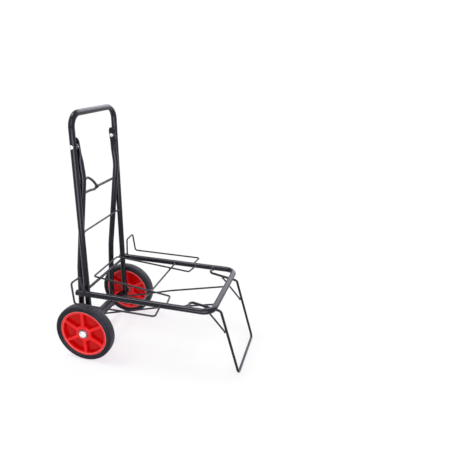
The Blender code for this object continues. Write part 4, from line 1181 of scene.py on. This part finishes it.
def make_lamps():
    """Two broad lamps; for gloss alone a softbox behind the cart and a lit card before it."""
    add_sun("overhead", (0.34, 0.04, -0.94), energy=1.45, angle=22)
    add_sun("front_fill", (-0.35, 0.80, -0.50), energy=1.05, angle=44)
    add_sun("back_softbox", (-0.16, -0.86, -0.44), energy=2.60, angle=60,
            gloss_tint=(0.90, 0.86, 1.0))
    card = add_lamp("front_card", "AREA", (0, 1, 0), energy=8.5, gloss_tint=(0.90, 0.87, 1.0))
    card.location = (0.345, -0.95, 0.27)
    card.data.shape = "RECTANGLE"
    card.data.size = 0.95
    card.data.size_y = 0.50
    card.visible_camera = False


def seen_directly(tree):
    """1 for camera, glossy and transmission rays, 0 for the rays that carry light."""
    ray = tree.nodes.new("ShaderNodeLightPath")
    seen = ray.outputs["Is Camera Ray"]
    for name in ("Is Glossy Ray", "Is Transmission Ray"):
        either = tree.nodes.new("ShaderNodeMath")
        either.operation = "ADD"
        either.use_clamp = True
        tree.links.new(seen, either.inputs[0])
        tree.links.new(ray.outputs[name], either.inputs[1])
        seen = either.outputs["Value"]
    return seen


def seen_or_light(tree, light, seen, output):
    """Give an output one shader for the rays that carry light and another where it is seen."""
    mix = tree.nodes.new("ShaderNodeMixShader")
    tree.links.new(seen_directly(tree), mix.inputs["Fac"])
    tree.links.new(light, mix.inputs[1])
    tree.links.new(seen, mix.inputs[2])
    tree.links.new(mix.outputs["Shader"], tree.nodes.new(output).inputs["Surface"])


def coloured(tree, kind, colour):
    """A shader node of one colour."""
    node = tree.nodes.new(kind)
    node.inputs["Color"].default_value = (*colour, 1)
    return node


def make_world():
    """White where the camera or a reflection sees it, a plain grey as light."""
    world = bpy.data.worlds.new("studio")
    world.use_nodes = True
    bpy.context.scene.world = world
    tree = world.node_tree
    tree.nodes.clear()
    seen = coloured(tree, "ShaderNodeBackground", (1, 1, 1))
    seen.inputs["Strength"].default_value = 1.0
    light = coloured(tree, "ShaderNodeBackground", AMBIENT_COLOUR)
    light.inputs["Strength"].default_value = AMBIENT
    seen_or_light(tree, light.outputs["Background"], seen.outputs["Background"],
                  "ShaderNodeOutputWorld")


def floor_finish():
    """Plain diffuse as light; where it is seen, part shading and part even white."""
    material = bpy.data.materials.new("floor_white")
    material.use_nodes = True
    tree = material.node_tree
    tree.nodes.clear()
    plain = coloured(tree, "ShaderNodeBsdfDiffuse", FLOOR_COLOUR)
    shaded = coloured(tree, "ShaderNodeBsdfDiffuse", SHADOW_SHARE)
    lifted = coloured(tree, "ShaderNodeEmission",
                      [1 - FLOOR_LEVEL * share for share in SHADOW_SHARE])
    both = tree.nodes.new("ShaderNodeAddShader")
    tree.links.new(shaded.outputs["BSDF"], both.inputs[0])
    tree.links.new(lifted.outputs["Emission"], both.inputs[1])
    seen_or_light(tree, plain.outputs["BSDF"], both.outputs["Shader"],
                  "ShaderNodeOutputMaterial")
    return material


def make_floor():
    """A pale floor, wide enough to fill every view."""
    mesh = bmesh.new()
    corners = ((-1, -1), (1, -1), (1, 1), (-1, 1))
    mesh.faces.new([mesh.verts.new((x * FLOOR_HALF, y * FLOOR_HALF, 0)) for x, y in corners])
    data = bpy.data.meshes.new("floor")
    mesh.to_mesh(data)
    mesh.free()
    data.materials.append(floor_finish())
    add_object("floor", data)


make_handle()
make_frame_wires()
make_axle()
make_links()
make_pins()
make_plugs()
make_platform()
make_leg()
for word, side in SIDES.items():
    make_rear_tube(word, side)
    make_bolt(word, side)
    make_wheel(word, side)
    make_stay(word, side)
make_camera()
make_world()
make_floor()
make_lamps()
bpy.context.scene.view_settings.view_transform = "Standard"
